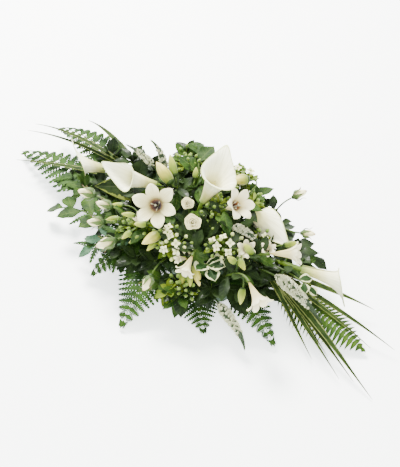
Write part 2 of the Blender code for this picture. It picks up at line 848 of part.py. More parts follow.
def strap_sheet(curve, width, along):
    """A long strap leaf, narrow at its root and drawn to a point."""
    frames = rib_frames(curve, 0.0, 1.0, along + 1)

    def place(u, v):
        point, side, over, tangent = frames[round(v * along)]
        half = width / 2 * (0.45 + 0.55 * math.sin(math.pi * min(v * 1.1, 1.0))) * (1 - v ** 5)
        if v >= 1:
            half = 0.0
        return point + side * ((2 * u - 1) * half)

    return sheet(1, along, place)


# Small florets and berries

def floret(start, end, radius):
    """A four-petalled star on its own fine stalk, in one closed surface."""
    way = (end - start).normalized()
    path = [start, end, end + way * radius * 0.30, end + way * radius * 0.12]

    def reach(t, angle):
        ring = round(t * 3)
        point = round(angle / math.tau * 8) % 2
        return (FINE_STALK, STALK_TIP, radius * (0.5 if point else 1.0), 0.0)[ring]

    return tube(path, reach, 8)


def berry(start, end, radius):
    """A round bud on its own fine stalk, in one closed surface."""
    way = (end - start).normalized()
    path = [start, end] + [end + way * radius * part for part in (0.7, 1.9, 2.7)]
    widths = (FINE_STALK, FINE_STALK, radius * 0.95, radius * 0.9, 0.0)
    return tube(path, lambda t, a: widths[round(t * 4)], 4)


def floret_cluster(head, aim, stars, berries, spread, rng):
    """Star florets and round buds that spring from the last part of a stem, even on all sides."""
    pieces = []
    frame = stand(head, aim, aim.orthogonal()).to_3x3()
    total = stars + berries
    every = total // max(stars, 1)
    for i in range(total):
        share = (i + 0.5) / total
        turn = i * math.radians(137.5)
        lean = spread * math.sqrt(share)
        way = frame @ Vector((math.sin(lean) * math.cos(turn), math.sin(lean) * math.sin(turn),
                              math.cos(lean)))
        start = head - aim * (0.0006 + 0.016 * share)
        end = start + way * (0.020 + 0.009 * rng.random())
        is_star = stars and i % every == 0 and i // every < stars
        pieces.append(floret(start, end, 0.0070) if is_star else berry(start, end, 0.0030))
    return pieces


def build_florets(name, face, head, aim, stars, berries, spread, colour, seed, foot=None):
    """A branched spray: star florets and round buds on fine stalks round a main stem."""
    aim = aim.normalized()
    root, curve = stem_curve(face, head, aim, FINE_STEM, foot)
    pieces = [tube(stem_points(root, curve, 3), lambda t, a: FINE_STEM, 4)]
    pieces += floret_cluster(head, aim, stars, berries, spread, random.Random(seed))
    add_solid(name, fuse(pieces, name), colour, 0.6)


# The arrangement. Places are in metres from the origin; aims and sides are directions.

def v3(x, y, z):
    """Short for a vector."""
    return Vector((x, y, z))


def build_callas():
    """Five callas."""
    build_calla("calla_centre", "top", v3(0.015, 0.009, 0.112), v3(0.15, 0.56, 0.82),
                v3(-0.67, 0.55, -0.50), 0.078, 0.0215)
    build_calla("calla_left", "top", v3(-0.064, -0.009, 0.112), v3(-0.74, -0.60, 0.32),
                v3(-0.66, 0.62, -0.42), 0.080, 0.0165)
    build_calla("calla_far_left", "left", v3(-0.185, 0.002, 0.066), v3(-0.82, -0.54, 0.20),
                v3(-0.46, 0.53, 0.71), 0.062, 0.0125, foot=(-0.002, 0.050))
    build_calla("calla_right", "top", v3(0.074, 0.035, 0.122), v3(0.67, 0.39, -0.63),
                v3(0.58, -0.66, 0.47), 0.072, 0.0190, foot=(0.066, 0.030))
    build_calla("calla_low_right", "right", v3(0.189, 0.029, 0.070), v3(0.86, 0.46, -0.22),
                v3(0.46, -0.53, -0.71), 0.074, 0.0116, foot=(0.032, 0.044), low=0.80)


def build_freesias():
    """Five open freesias with their buds, and two stems still in bud."""
    build_freesia("freesia_big", "top", v3(-0.024, -0.047, 0.121), v3(0.40, -0.60, 0.69), (
        (0.55, v3(-0.017, -0.081, 0.112), v3(-0.029, -0.096, 0.115), 0.0056),
    ), 1.05)
    build_freesia("freesia_crown", "top", v3(0.066, 0.003, 0.134), v3(0.71, 0.05, 0.70), (
        (0.50, v3(0.053, 0.072, 0.137), v3(0.034, 0.051, 0.139), 0.0085),
    ), 0.80, foot=(0.048, 0.004))
    build_freesia("freesia_right", "right", v3(0.159, -0.010, 0.112), v3(0.85, 0.49, 0.21), (
        (0.95, v3(0.153, 0.030, 0.096), v3(0.170, 0.046, 0.099), 0.0046),
        (0.60, v3(0.142, -0.027, 0.112), v3(0.126, -0.031, 0.128), 0.0062),
    ), 0.95, 0.60, foot=(-0.004, 0.056))
    build_freesia("freesia_low", "front", v3(0.163, -0.062, 0.098), v3(0.87, -0.36, -0.35), (
        (0.84, v3(0.156, -0.066, 0.084), v3(0.166, -0.084, 0.070), 0.0056),
        (0.55, v3(0.129, -0.050, 0.104), v3(0.117, -0.056, 0.115), 0.0050),
        (0.70, v3(0.127, -0.041, 0.106), v3(0.145, -0.049, 0.099), 0.0054),
    ), 0.85, 0.75, foot=(0.083, 0.038))
    build_freesia("freesia_front", "front", v3(0.072, -0.081, 0.104), v3(0.25, -0.90, -0.35), (
        (0.80, v3(0.063, -0.091, 0.070), v3(0.071, -0.103, 0.062), 0.0056),
        (0.86, v3(0.071, -0.075, 0.086), v3(0.096, -0.092, 0.065), 0.0070),
    ), 0.62, 0.80, foot=(0.036, 0.054))
    build_bud_stem("freesia_back_buds", "top", v3(-0.036, 0.006, 0.118), v3(-0.3, 0.1, 0.9), (
        (0.96, v3(-0.035, -0.005, 0.128), v3(-0.072, 0.001, 0.148), 0.0092),
        (0.98, v3(-0.041, 0.009, 0.130), v3(-0.065, 0.024, 0.152), 0.0066),
    ), foot=(-0.048, 0.028))
    build_bud_stem("freesia_side_buds", "front", v3(-0.030, -0.080, 0.100), v3(-0.5, -0.7, 0.3), (
        (0.80, v3(0.007, -0.075, 0.104), v3(-0.005, -0.106, 0.097), 0.0082),
        (0.98, v3(-0.037, -0.084, 0.118), v3(-0.053, -0.097, 0.122), 0.0044),
        (0.98, v3(-0.025, -0.105, 0.110), v3(-0.030, -0.122, 0.103), 0.0044),
    ), foot=(-0.010, 0.052))


def build_roses():
    """Two small open roses on a forked stem, and seven buds on three more."""
    large = v3(0.043, -0.046, 0.128)
    large_aim = v3(0.45, -0.52, 0.72)
    small = v3(0.014, -0.024, 0.132)
    small_aim = v3(0.40, -0.55, 0.73)
    build_open_rose("rose_open_large", large, large_aim, 0.0150, 2.8, 22)
    build_open_rose("rose_open_small", small, small_aim, 0.0115, 2.2, 20)
    build_rose_stem("rose_open_stem", "top", v3(0.022, -0.030, 0.096),
                    ((large, large_aim, 0.0042), (small, small_aim, 0.0034)))
    build_rose_buds("rose_buds_left", "front", v3(-0.060, -0.082, 0.088), (
        (v3(-0.120, -0.082, 0.106), v3(-0.92, -0.25, -0.05), 0.030),
        (v3(-0.074, -0.092, 0.118), v3(-0.90, -0.35, 0.05), 0.026),
        (v3(-0.074, -0.110, 0.100), v3(-0.85, -0.40, -0.20), 0.028),
        (v3(-0.042, -0.118, 0.092), v3(-0.60, -0.70, -0.30), 0.032),
    ), foot=(-0.040, 0.052))
    build_rose_buds("rose_bud_front", "front", v3(0.030, -0.104, 0.080), (
        (v3(0.036, -0.128, 0.080), v3(0.05, -0.75, -0.60), 0.026),
    ), foot=(0.012, 0.050))
    build_rose_buds("rose_buds_back", "back", v3(0.090, 0.098, 0.080), (
        (v3(0.105, 0.110, 0.104), v3(0.45, 0.70, 0.30), 0.024),
        (v3(0.150, 0.074, 0.086), v3(0.85, 0.45, 0.10), 0.022),
    ), foot=(0.044, 0.057))


def build_veronicas():
    """Five veronica spikes, two of them on one forked stem."""
    build_veronica("veronica_back", "top", v3(-0.112, 0.031, 0.150), 0.058, 0.0060,
                   v3(-0.89, -0.10, 0.30), twin=(v3(-0.152, 0.016, 0.128), v3(-0.95, -0.20, 0.10)))
    build_veronica("veronica_middle", "top", v3(0.143, 0.004, 0.092), 0.066, 0.0068,
                   v3(0.75, 0.02, -0.50), foot=(0.080, -0.014),
                   handles=(v3(0.074, -0.008, 0.118), v3(0.092, 0.002, 0.134)))
    build_veronica("veronica_right", "right", v3(0.255, -0.004, 0.028), 0.094, 0.0092,
                   v3(0.6, 0.1, -0.8), foot=(-0.014, 0.044),
                   handles=(v3(0.144, -0.010, 0.088), v3(0.204, -0.009, 0.084)))
    build_veronica("veronica_front", "front", v3(0.196, -0.108, 0.014), 0.090, 0.0080,
                   v3(0.3, -0.2, -0.8), foot=(0.070, 0.042))


def build_ferns():
    """Seven fronds: leatherleaf round the left and front, a sword fern at the right."""
    build_fern("fern_left", "left", v3(-0.371, -0.017, 0.010), 0.010, 0.36, 0.058, 7, "leather",
               FERN_GREEN, foot=(-0.016, 0.030))
    build_fern("fern_left_back", "left", v3(-0.349, 0.052, 0.030), 0.018, 0.38, 0.045, 6,
               "plain", FERN_GREEN, foot=(0.028, 0.032))
    build_fern("fern_front_left", "front", v3(-0.075, -0.150, 0.014), 0.022, 0.30, 0.045, 6,
               "leather", FERN_GREEN, foot=(-0.034, 0.030))
    build_fern("fern_front", "front", v3(0.027, -0.192, 0.006), 0.022, 0.30, 0.055, 7,
               "leather", FERN_GREEN, foot=(0.004, 0.030))
    build_fern("fern_front_right", "front", v3(0.128, -0.120, 0.008), 0.002, 0.34, 0.042, 5,
               "leather", FERN_GREEN, foot=(0.050, 0.027))
    build_fern("fern_low_right", "right", v3(0.222, -0.070, 0.008), 0.014, 0.22, 0.040, 6,
               "plain", FERN_GREEN, foot=(-0.034, 0.032))
    build_fern("fern_right", "right", v3(0.328, 0.008, 0.008), 0.006, 0.30, 0.044, 11, "sword",
               MID_GREEN, foot=(0.006, 0.030))


def build_leaves():
    """Broad, glaucous and white-edged leaves on their stems."""
    build_sprig("broad_leaves_left", "front", v3(-0.225, -0.096, 0.020), 0.020, 5, 0.046, 0.028,
                MID_GREEN, foot=(-0.082, 0.032))
    build_sprig("glaucous_leaves", "front", v3(-0.098, -0.142, 0.040), 0.012, 5, 0.036, 0.022,
                GLAUCOUS, foot=(-0.056, 0.040))
    build_sprig("dark_leaves_front", "front", v3(0.090, -0.128, 0.046), 0.006, 5, 0.045, 0.026,
                DARK_GREEN, foot=(0.026, 0.040))
    build_sprig("edged_leaves_right", "right", v3(0.246, 0.010, 0.056), 0.010, 3, 0.021, 0.018,
                MID_GREEN, foot=(0.008, 0.058), start=0.68)
    build_sprig("edged_leaves_front", "front", v3(0.102, -0.074, 0.084), 0.004, 4, 0.034, 0.027,
                MID_GREEN, foot=(0.066, 0.057), start=0.48)
    build_sprig("back_leaves_low", "back", v3(-0.140, 0.066, 0.048), 0.004, 8, 0.052, 0.036,
                DARK_GREEN, foot=(0.064, 0.038), start=0.12, splay=58, dive=0.0,
                up=v3(0.0, 0.9, 0.5), outline=TUFT_LEAF)
    build_sprig("back_leaves_middle", "top", v3(-0.076, 0.098, 0.112), 0.004, 5, 0.048, 0.031,
                MID_GREEN, foot=(-0.004, 0.028), start=0.16, clusters=(
                    (0.50, v3(-0.048, 0.058, 0.108), v3(0.2, -0.1, 0.9), 4),
                    (0.25, v3(0.016, 0.080, 0.104), v3(0.2, 0.2, 0.9), 3),
                ))
    build_sprig("back_leaves_right", "back", v3(0.196, 0.078, 0.044), 0.004, 5, 0.040, 0.025,
                DARK_GREEN, foot=(0.078, 0.042))


def build_grasses():
    """Grass and long leaves past both ends."""
    build_blades("grass_right", "right", (
        (v3(0.383, -0.053, 0.004), 0.014, 0.0085),
        (v3(0.311, -0.023, 0.012), 0.016, 0.0080),
        (v3(0.278, -0.055, 0.010), 0.012, 0.0066),
        (v3(0.359, 0.035, 0.013), 0.007, 0.0078),
        (v3(0.295, 0.074, 0.020), 0.000, 0.0120),
    ), MID_GREEN, foot=(0.018, 0.050))
    build_blades("grass_left", "left", (
        (v3(-0.299, 0.075, 0.060), 0.026, 0.0070),
        (v3(-0.369, 0.018, 0.050), 0.026, 0.0064),
        (v3(-0.381, 0.010, 0.034), 0.024, 0.0058),
        (v3(-0.344, -0.052, 0.030), -0.002, 0.0070),
    ), MID_GREEN, foot=(0.034, 0.048))


def build_floret_sprays():
    """White star florets and green berry-like buds between the larger flowers."""
    build_florets("florets_front", "top", v3(0.040, -0.080, 0.106), v3(0.30, -0.65, 0.70), 4, 6,
                  0.9, FLORET_GREEN, 3)
    build_florets("florets_right", "top", v3(0.098, -0.034, 0.106), v3(0.35, -0.45, 0.79), 4, 6,
                  0.9, FLORET_GREEN, 5, foot=(0.056, -0.022))
    build_florets("berries_middle", "top", v3(0.038, 0.000, 0.106), v3(0.20, -0.20, 0.90), 0, 8,
                  0.7, BERRY_GREEN, 7, foot=(0.030, -0.006))


def build_tufts():
    """Dark broad leaves that fill the middle and hide the foam."""
    block = bmesh.new()
    bmesh.ops.create_cube(block, size=1.0)
    size = (FOAM_LENGTH, FOAM_WIDTH, FOAM_TOP)
    bmesh.ops.scale(block, verts=block.verts[:], vec=size)
    bmesh.ops.translate(block, verts=block.verts[:], vec=(0, 0, FOAM_TOP / 2))
    shape = as_mesh(block, "foam_shape")
    note_obstacle(shape)
    bpy.data.meshes.remove(shape)
    rows = (
        ("tuft_top_left", "top", (-0.072, 0.000, 0.084), (-0.4, 0.2, 0.9), 8, (-0.056, -0.006),
         (v3(-0.154, -0.056, 0.088), 0.032)),
        ("tuft_top_middle", "top", (0.048, -0.034, 0.082), (0.2, -0.6, 0.8), 7, (0.042, -0.026)),
        ("tuft_top_right", "top", (0.080, 0.014, 0.084), (0.3, 0.3, 0.9), 8, (0.074, 0.010)),
        ("tuft_front_left", "front", (-0.044, -0.066, 0.048), (-0.2, -0.9, 0.4), 8,
         (-0.022, 0.042)),
        ("tuft_left", "left", (-0.126, 0.010, 0.054), (-0.9, 0.0, 0.4), 7, (0.016, 0.056)),
        ("tuft_front_right", "right", (0.116, -0.054, 0.060), (0.6, -0.6, 0.5), 8,
         (-0.034, 0.052)),
    )
    for i, (name, face, head, aim, leaves, foot, *more) in enumerate(rows):
        build_tuft(name, face, Vector(head), Vector(aim), leaves, 20 * i, foot, *more)


def main():
    """Build every piece; the foam comes last, when every hole is known."""
    clear_scene()
    build_callas()
    build_freesias()
    build_roses()
    build_veronicas()
    build_ferns()
    build_leaves()
    build_grasses()
    build_floret_sprays()
    build_tray()
    build_tufts()
    build_foam()


if __name__ == "__main__":
    main()
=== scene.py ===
# %% [markdown]
# # A double-ended flower spray
# The real thing is a funeral spray: white callas, freesias, spray roses and veronica among ferns
# and leaves, every stem pushed into a block of wet floral foam in a low plastic tray. A plain
# model of it, with a simple solid for every flower and frond, is already packed as a fixed frame.
# This lesson dresses that model. Each flower is grown again from the same root to the same head,
# with finer petals, veins and colour, so that it stands where its plain solid stands. The other
# way would be to subdivide the plain solids, but that only rounds their corners and adds no
# petals.

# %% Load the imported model
import math
import random

import bmesh
import bpy
from mathutils import Matrix, Vector
from mathutils.kdtree import KDTree


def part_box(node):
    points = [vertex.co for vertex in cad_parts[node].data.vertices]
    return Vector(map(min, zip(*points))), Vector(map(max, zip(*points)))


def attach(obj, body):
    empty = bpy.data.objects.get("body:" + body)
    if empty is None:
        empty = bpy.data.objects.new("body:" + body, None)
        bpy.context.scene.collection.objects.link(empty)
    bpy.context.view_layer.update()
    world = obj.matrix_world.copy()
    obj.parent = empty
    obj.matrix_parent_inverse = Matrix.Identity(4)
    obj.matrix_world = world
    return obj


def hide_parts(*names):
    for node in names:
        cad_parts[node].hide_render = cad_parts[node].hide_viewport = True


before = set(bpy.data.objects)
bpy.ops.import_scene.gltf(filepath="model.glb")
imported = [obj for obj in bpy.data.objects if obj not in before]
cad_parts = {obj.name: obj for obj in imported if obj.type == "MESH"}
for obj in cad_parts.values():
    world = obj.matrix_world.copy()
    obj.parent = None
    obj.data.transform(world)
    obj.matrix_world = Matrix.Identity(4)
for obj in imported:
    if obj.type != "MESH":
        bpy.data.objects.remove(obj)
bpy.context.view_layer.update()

foam_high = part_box("foam_block")[1]

# %% [markdown]
# ## Three ways to make a petal or a stem
# Nearly everything here grew as one of three things. A petal or leaf is a sheet: a grid whose
# rows run along it, bent into place and then given its thickness. A stem is a tube: a grid rolled
# up round a path. A bud is a bead: a tube that swells and closes at both ends. Each starts from
# the grid operator, because the grid brings a UV map whose first coordinate runs across the petal
# and whose second runs from root to tip. The finishes need that map for veins and for colour that
# changes along a flower.

# %% Sheets, tubes and beads
UP = Vector((0.0, 0.0, 1.0))
MERGE = 0.00002
PETAL_SKIN = 0.0007
LEAF_SKIN = 0.0006
SHARP_ANGLE = math.radians(60)
finishes = {}


def surface(across, along, place, is_gap=None):
    """A grid with a UV map, whose points are set by place(u, v), each from 0 to 1.

    is_gap(u, v), where given, tells by a face's middle whether the face is left out.
    """
    shape = bmesh.new()
    shape.loops.layers.uv.new("UVMap")
    bmesh.ops.create_grid(shape, x_segments=across, y_segments=along, size=0.5, calc_uvs=True)
    if is_gap:
        middles = [(face, face.calc_center_median()) for face in shape.faces]
        gaps = [face for face, middle in middles if is_gap(middle.x + 0.5, middle.y + 0.5)]
        bmesh.ops.delete(shape, geom=gaps, context="FACES")
    for vert in shape.verts:
        vert.co = place(vert.co.x + 0.5, vert.co.y + 0.5)
    bmesh.ops.remove_doubles(shape, verts=shape.verts[:], dist=MERGE)
    return shape


def face_outwards(shape):
    """Turn every face of a closed shape outwards."""
    bmesh.ops.recalc_face_normals(shape, faces=shape.faces[:])
    return shape


def thicken(shape, thickness=LEAF_SKIN):
    """Give an open sheet its thickness, as a closed skin."""
    face_outwards(shape)
    bmesh.ops.solidify(shape, geom=shape.faces[:], thickness=thickness)
    return face_outwards(shape)


def through(values, t):
    """A smooth curve through evenly spaced numbers or points, at t from 0 to 1."""
    last = len(values) - 1
    place = min(max(t, 0.0), 1.0) * last
    i = min(int(place), last - 1)
    f = place - i
    a, b, c, d = (values[min(max(k, 0), last)] for k in range(i - 1, i + 3))
    return b + ((c - a) + ((a * 2 - b * 5 + c * 4 - d) + ((b - c) * 3 + d - a) * f) * f) * (f / 2)


def carry_frames(points, side):
    """A point, sideways vector and outward vector at each point of a path, without twisting."""
    frames = []
    for i, point in enumerate(points):
        tangent = (points[min(i + 1, len(points) - 1)] - points[max(i - 1, 0)]).normalized()
        side = (side - tangent * side.dot(tangent)).normalized()
        frames.append((point, side, tangent.cross(side)))
    return frames


def around(path_frame, angle, reach):
    """The point at an angle and a distance round a path."""
    point, side, over = path_frame
    return point + side * (reach * math.cos(angle)) + over * (reach * math.sin(angle))


def polar(angle, reach, height=0.0):
    """The point at an angle and a distance round the Z axis."""
    return Vector((reach * math.cos(angle), reach * math.sin(angle), height))


def tube(points, radius, sides=8):
    """A round stem along points. radius is a number, or radius(t, angle); 0 closes it to a tip."""
    frames = carry_frames(points, (points[1] - points[0]).normalized().orthogonal())
    last = len(points) - 1

    def place(u, v):
        angle = math.tau * u
        reach = radius(v, angle) if callable(radius) else radius
        return around(frames[round(v * last)], angle, reach)

    shape = surface(sides, last, place)
    rims = [edge for edge in shape.edges if edge.is_boundary]
    if rims:
        bmesh.ops.holes_fill(shape, edges=rims, sides=0)
    return face_outwards(shape)


def stand(base, aim, side):
    """A matrix whose Z looks along aim and whose X leans towards side."""
    z = aim.normalized()
    x = (side - z * side.dot(z)).normalized()
    matrix = Matrix((x, z.cross(x), z)).transposed().to_4x4()
    matrix.translation = base
    return matrix


def upright(base, aim):
    """A matrix whose Z looks along aim, for shapes that are alike all round."""
    return stand(base, aim, aim.orthogonal())


def bead(matrix, length, radius, sides=10, rings=9, belly=0.8, crease=0.0, lobes=3, twist=0.0):
    """A closed bud on matrix's Z axis, widest below its middle, with lengthwise creases."""
    points = [matrix @ Vector((0, 0, length * i / rings)) for i in range(rings + 1)]
    frames = carry_frames(points, matrix.to_3x3().col[0].copy())

    def place(u, v):
        angle = math.tau * u
        reach = radius * math.sin(math.pi * v ** belly) ** 0.75 if 0 < v < 1 else 0.0
        fold = 0.5 + 0.5 * math.cos(lobes * angle + twist * v)
        reach *= 1 - crease * fold * math.sin(math.pi * v)
        return around(frames[round(v * rings)], angle, reach)

    return face_outwards(surface(sides, rings, place))


def make_piece(name, slot, finish, shapes, *nodes):
    """Join closed shapes into one piece in one finish, standing for the given plain solids."""
    whole = bmesh.new()
    whole.loops.layers.uv.new("UVMap")
    for shape in shapes:
        part = bpy.data.meshes.new("part")
        shape.to_mesh(part)
        shape.free()
        whole.from_mesh(part)
        bpy.data.meshes.remove(part)
    mesh = bpy.data.meshes.new(name)
    whole.to_mesh(mesh)
    whole.free()
    mesh.materials.append(finishes[finish])
    mesh.shade_smooth()
    mesh.set_sharp_from_angle(angle=SHARP_ANGLE)
    piece = bpy.data.objects.new(name, mesh)
    bpy.context.collection.objects.link(piece)
    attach(piece, "root")
    if nodes:
        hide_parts(*nodes)
    triangles = sum(len(face.vertices) - 2 for face in mesh.polygons)
    print(f"{name}: {len(shapes)} shapes, {triangles} triangles")


# %% [markdown]
# ## Where the numbers stand
# The places and sizes of some two hundred stems, buds and leaves stand in tables. A table's first
# line heads its columns. A heading with mm holds millimetres, which are turned into metres, a
# heading with aim holds directions, and a single dash stands for nothing. A slash parts a list,
# and a backslash lets a long row run on. Tuples would do the same, but their brackets and zeros
# hide the numbers.

# %% Tables
def read_cell(title, words):
    """A name, a number, a vector of three numbers, or a tuple of any other count."""
    if words[0] == "-":
        return None
    if words[0][-1].isalpha():
        return words[0]
    values = [float(word) if "." in word else int(word) for word in words]
    if "mm" in title:
        values = [value / 1000 for value in values]
    if len(values) == 3:
        return Vector(values).normalized() if "aim" in title else Vector(values)
    return values[0] if len(values) == 1 else tuple(values)


def table(text):
    """The rows of a table; a slash in a cell parts a list."""
    titles, *lines = [line.split(",") for line in text.strip().splitlines()]
    rows = []
    for cells in lines:
        row = []
        for title, cell in zip(titles, cells):
            parts = [read_cell(title, part.split()) for part in cell.split("/")]
            row.append(parts if len(parts) > 1 else parts[0])
        rows.append(row)
    print(len(rows), "rows:", ",".join(titles))
    return rows


def rows_of(rows, name):
    """The rows that start with a name, without that name."""
    return [row[1:] for row in rows if row[0] == name]


# %% [markdown]
# ## Where a stem stands
# Each stem is pushed into the foam, leaves it square to one of its faces, and then bends over to
# its head on one smooth curve. The plain model was grown by this rule, so the same rule, read from
# the foam's own box, puts every fine stem into the same hole. The curves are kept by name, because
# small sprays of buds and berries fork from them later.

# %% The stem rule
FACE_NORMALS = {
    "top": Vector((0.0, 0.0, 1.0)),
    "front": Vector((0.0, -1.0, 0.0)),
    "back": Vector((0.0, 1.0, 0.0)),
    "left": Vector((-1.0, 0.0, 0.0)),
    "right": Vector((1.0, 0.0, 0.0)),
}
FOOT_SPREAD_X = 0.52
FOOT_SPREAD_Y = 0.45
FOOT_MARGIN = 0.012
SIDE_STEM_HEIGHT = 0.036
SIDE_STEM_RISE = 0.25
MIDDLE_HEIGHT = 0.05
RISE_LIMIT = 0.06
STEM_SINK = 0.014
STEM_CLEAR = 0.005
STEM_SQUARENESS = 0.7
STEM_BEND = 0.35
FORK_BEND = 0.4
FORK_STEPS = 9
ARCH_DIVE = 0.30
TANGENT_STEP = 0.02
stems = {}


def clamp(value, limit):
    """Keep value between -limit and limit."""
    return max(-limit, min(limit, value))


def foot_on_foam(face, head, foot=None):
    """Where a stem leaves the foam. foot, where given, sets its two coordinates in the face."""
    x = clamp(head.x * FOOT_SPREAD_X, foam_high.x - FOOT_MARGIN)
    y = clamp(head.y * FOOT_SPREAD_Y, foam_high.y - FOOT_MARGIN)
    z = SIDE_STEM_HEIGHT + clamp(head.z - MIDDLE_HEIGHT, RISE_LIMIT) * SIDE_STEM_RISE
    if face == "top":
        x, y = foot or (x, y)
        return Vector((x, y, foam_high.z))
    if face in ("front", "back"):
        x, z = foot or (x, z)
        return Vector((x, FACE_NORMALS[face].y * foam_high.y, z))
    y, z = foot or (y, z)
    return Vector((FACE_NORMALS[face].x * foam_high.x, y, z))


def bezier(a, b, c, d, t):
    """A point on a cubic curve."""
    s = 1 - t
    return a * s ** 3 + b * (3 * s * s * t) + c * (3 * s * t * t) + d * t ** 3


def stem_curve(name, face, head, aim, foot=None, handles=None):
    """The end of a stem inside the foam, and its curve from the foam to its head.

    handles, where given, are the two points that the curve bends towards.
    """
    foot = foot_on_foam(face, head, foot)
    way = ((head - foot).normalized() + FACE_NORMALS[face] * STEM_SQUARENESS).normalized()
    start = foot + way * STEM_CLEAR
    bend = (head - start).length * STEM_BEND
    b, c = handles or (start + way * bend, head - aim.normalized() * bend)
    stems[name] = lambda t: bezier(start, b, c, head, t)
    return foot - way * STEM_SINK, stems[name]


def along(curve, steps, until=1.0):
    """The points of a curve, from its start to a share of it."""
    return [curve(until * i / steps) for i in range(steps + 1)]


def stem(root, curve, radius, steps=14, until=1.0, sides=8):
    """A stem: straight out of the foam, then along its curve."""
    return tube([root] + along(curve, steps, until), radius, sides)


def branch(curve, share, head, aim, radius, sides=8):
    """A side branch that leaves a stem at a share of it, and turns to meet its head."""
    start = curve(share)
    knee = head - aim * (head - start).length * FORK_BEND
    return tube(along(lambda t: bezier(start, start.lerp(knee, 0.5), knee, head, t), FORK_STEPS),
                radius, sides)


def arch(name, face, tip, lift, foot=None, dive=ARCH_DIVE):
    """The curve of a long leaf or frond: out of the foam, over, and down to its tip."""
    start = foot_on_foam(face, tip, foot)
    level = Vector((tip.x - start.x, tip.y - start.y, 0)).normalized()
    root, curve = stem_curve(name, face, tip, level - UP * dive, foot)
    stems[name] = lambda t: curve(t) + UP * (lift * math.sin(math.pi * t))
    return root, stems[name]


def tangent_at(curve, t):
    """The direction of a curve near t."""
    before, after = max(t - TANGENT_STEP, 0.0), min(t + TANGENT_STEP, 1.0)
    return (curve(after) - curve(before)).normalized()


def rib_frames(curve, start, end, count, up=UP):
    """Point, sideways, upward and forward vectors at count places along a curve."""
    frames = []
    for i in range(count):
        t = start + (end - start) * i / (count - 1)
        tangent = tangent_at(curve, t)
        side = tangent.cross(up).normalized()
        frames.append((curve(t), side, side.cross(tangent), tangent))
    return frames


print("foam top at", round(foam_high.z * 1000), "mm, stems reach", STEM_SINK * 1000, "mm into it")

# %% [markdown]
# ## Finishes
# Leaves and petals share a few effects: veins that branch from a midrib, fine streaks along a
# petal, and a soft unevenness of colour. Each effect is a node group that puts out masks, built
# once. Every finish then places the groups it needs with its own values around its own Principled
# shader. Reading the UV map makes veins follow each leaf. Reading Object coordinates makes the
# unevenness run on from leaf to leaf, so that no two leaves are alike.

# %% Node helpers
def put(tree, kind, inputs, **settings):
    """Add a node, change its settings, and fill its inputs with values or links."""
    item = tree.nodes.new(kind)
    for key, value in settings.items():
        setattr(item, key, value)
    for key, value in inputs.items():
        if isinstance(value, bpy.types.NodeSocket):
            tree.links.new(value, item.inputs[key])
        else:
            item.inputs[key].default_value = value
    return item


def arithmetic(tree, operation, *values):
    """The result of a Math node."""
    return put(tree, "ShaderNodeMath", dict(enumerate(values)), operation=operation).outputs[0]


def ease(tree, value, start, end, low=0.0, high=1.0):
    """value eased from low at start to high at end."""
    inputs = {"Value": value, "From Min": start, "From Max": end, "To Min": low, "To Max": high}
    item = put(tree, "ShaderNodeMapRange", inputs, interpolation_type="SMOOTHSTEP")
    return item.outputs["Result"]


def blend(tree, factor, first, second):
    """A colour between first and second."""
    colours = [c if isinstance(c, bpy.types.NodeSocket) else (*c, 1.0) for c in (first, second)]
    item = put(tree, "ShaderNodeMix", {0: factor, 6: colours[0], 7: colours[1]}, data_type="RGBA")
    return item.outputs[2]


def new_group(name, inputs, outputs):
    """An empty node group with number sockets, and its two end nodes."""
    tree = bpy.data.node_groups.new(name, "ShaderNodeTree")
    for label, value in inputs.items():
        socket = tree.interface.new_socket(label, in_out="INPUT", socket_type="NodeSocketFloat")
        socket.default_value = value
    for label in outputs:
        tree.interface.new_socket(label, in_out="OUTPUT", socket_type="NodeSocketFloat")
    return tree, tree.nodes.new("NodeGroupInput").outputs, tree.nodes.new("NodeGroupOutput").inputs


def use_group(tree, group, **values):
    """The outputs of a shared effect, placed with its own values."""
    return put(tree, "ShaderNodeGroup", values, node_tree=group).outputs


def map_axes(tree):
    """The two coordinates of the UV map: across a sheet and along it."""
    uv = put(tree, "ShaderNodeTexCoord", {}).outputs["UV"]
    return put(tree, "ShaderNodeSeparateXYZ", {0: uv}).outputs[:2]


# %% The shared effects
mottle, given, made = new_group("soft_unevenness", {"Scale": 40.0}, ["Mask"])
place = put(mottle, "ShaderNodeTexCoord", {}).outputs["Object"]
cloud = put(mottle, "ShaderNodeTexNoise", {"Vector": place, "Scale": given["Scale"], "Detail": 3.0})
mottle.links.new(ease(mottle, cloud.outputs["Fac"], 0.36, 0.64), made["Mask"])

veins, given, made = new_group("leaf_veins", {"Veins": 9.0, "Slant": 1.2, "Rib": 0.07},
                               ["Mask", "Across", "Height"])
u, v = map_axes(veins)
across = arithmetic(veins, "ABSOLUTE", arithmetic(veins, "MULTIPLY_ADD", u, 2.0, -1.0))
slanted = arithmetic(veins, "MULTIPLY", across, given["Slant"])
phase = arithmetic(veins, "SUBTRACT", arithmetic(veins, "MULTIPLY", v, given["Veins"]), slanted)
line = ease(veins, arithmetic(veins, "PINGPONG", phase, 0.5), 0.10, 0.02, 0.0, 0.55)
rib = ease(veins, across, given["Rib"], arithmetic(veins, "MULTIPLY", given["Rib"], 0.3))
mask = arithmetic(veins, "MAXIMUM", line, rib)
veins.links.new(mask, made["Mask"])
veins.links.new(across, made["Across"])
veins.links.new(arithmetic(veins, "SUBTRACT", 1.0, mask), made["Height"])

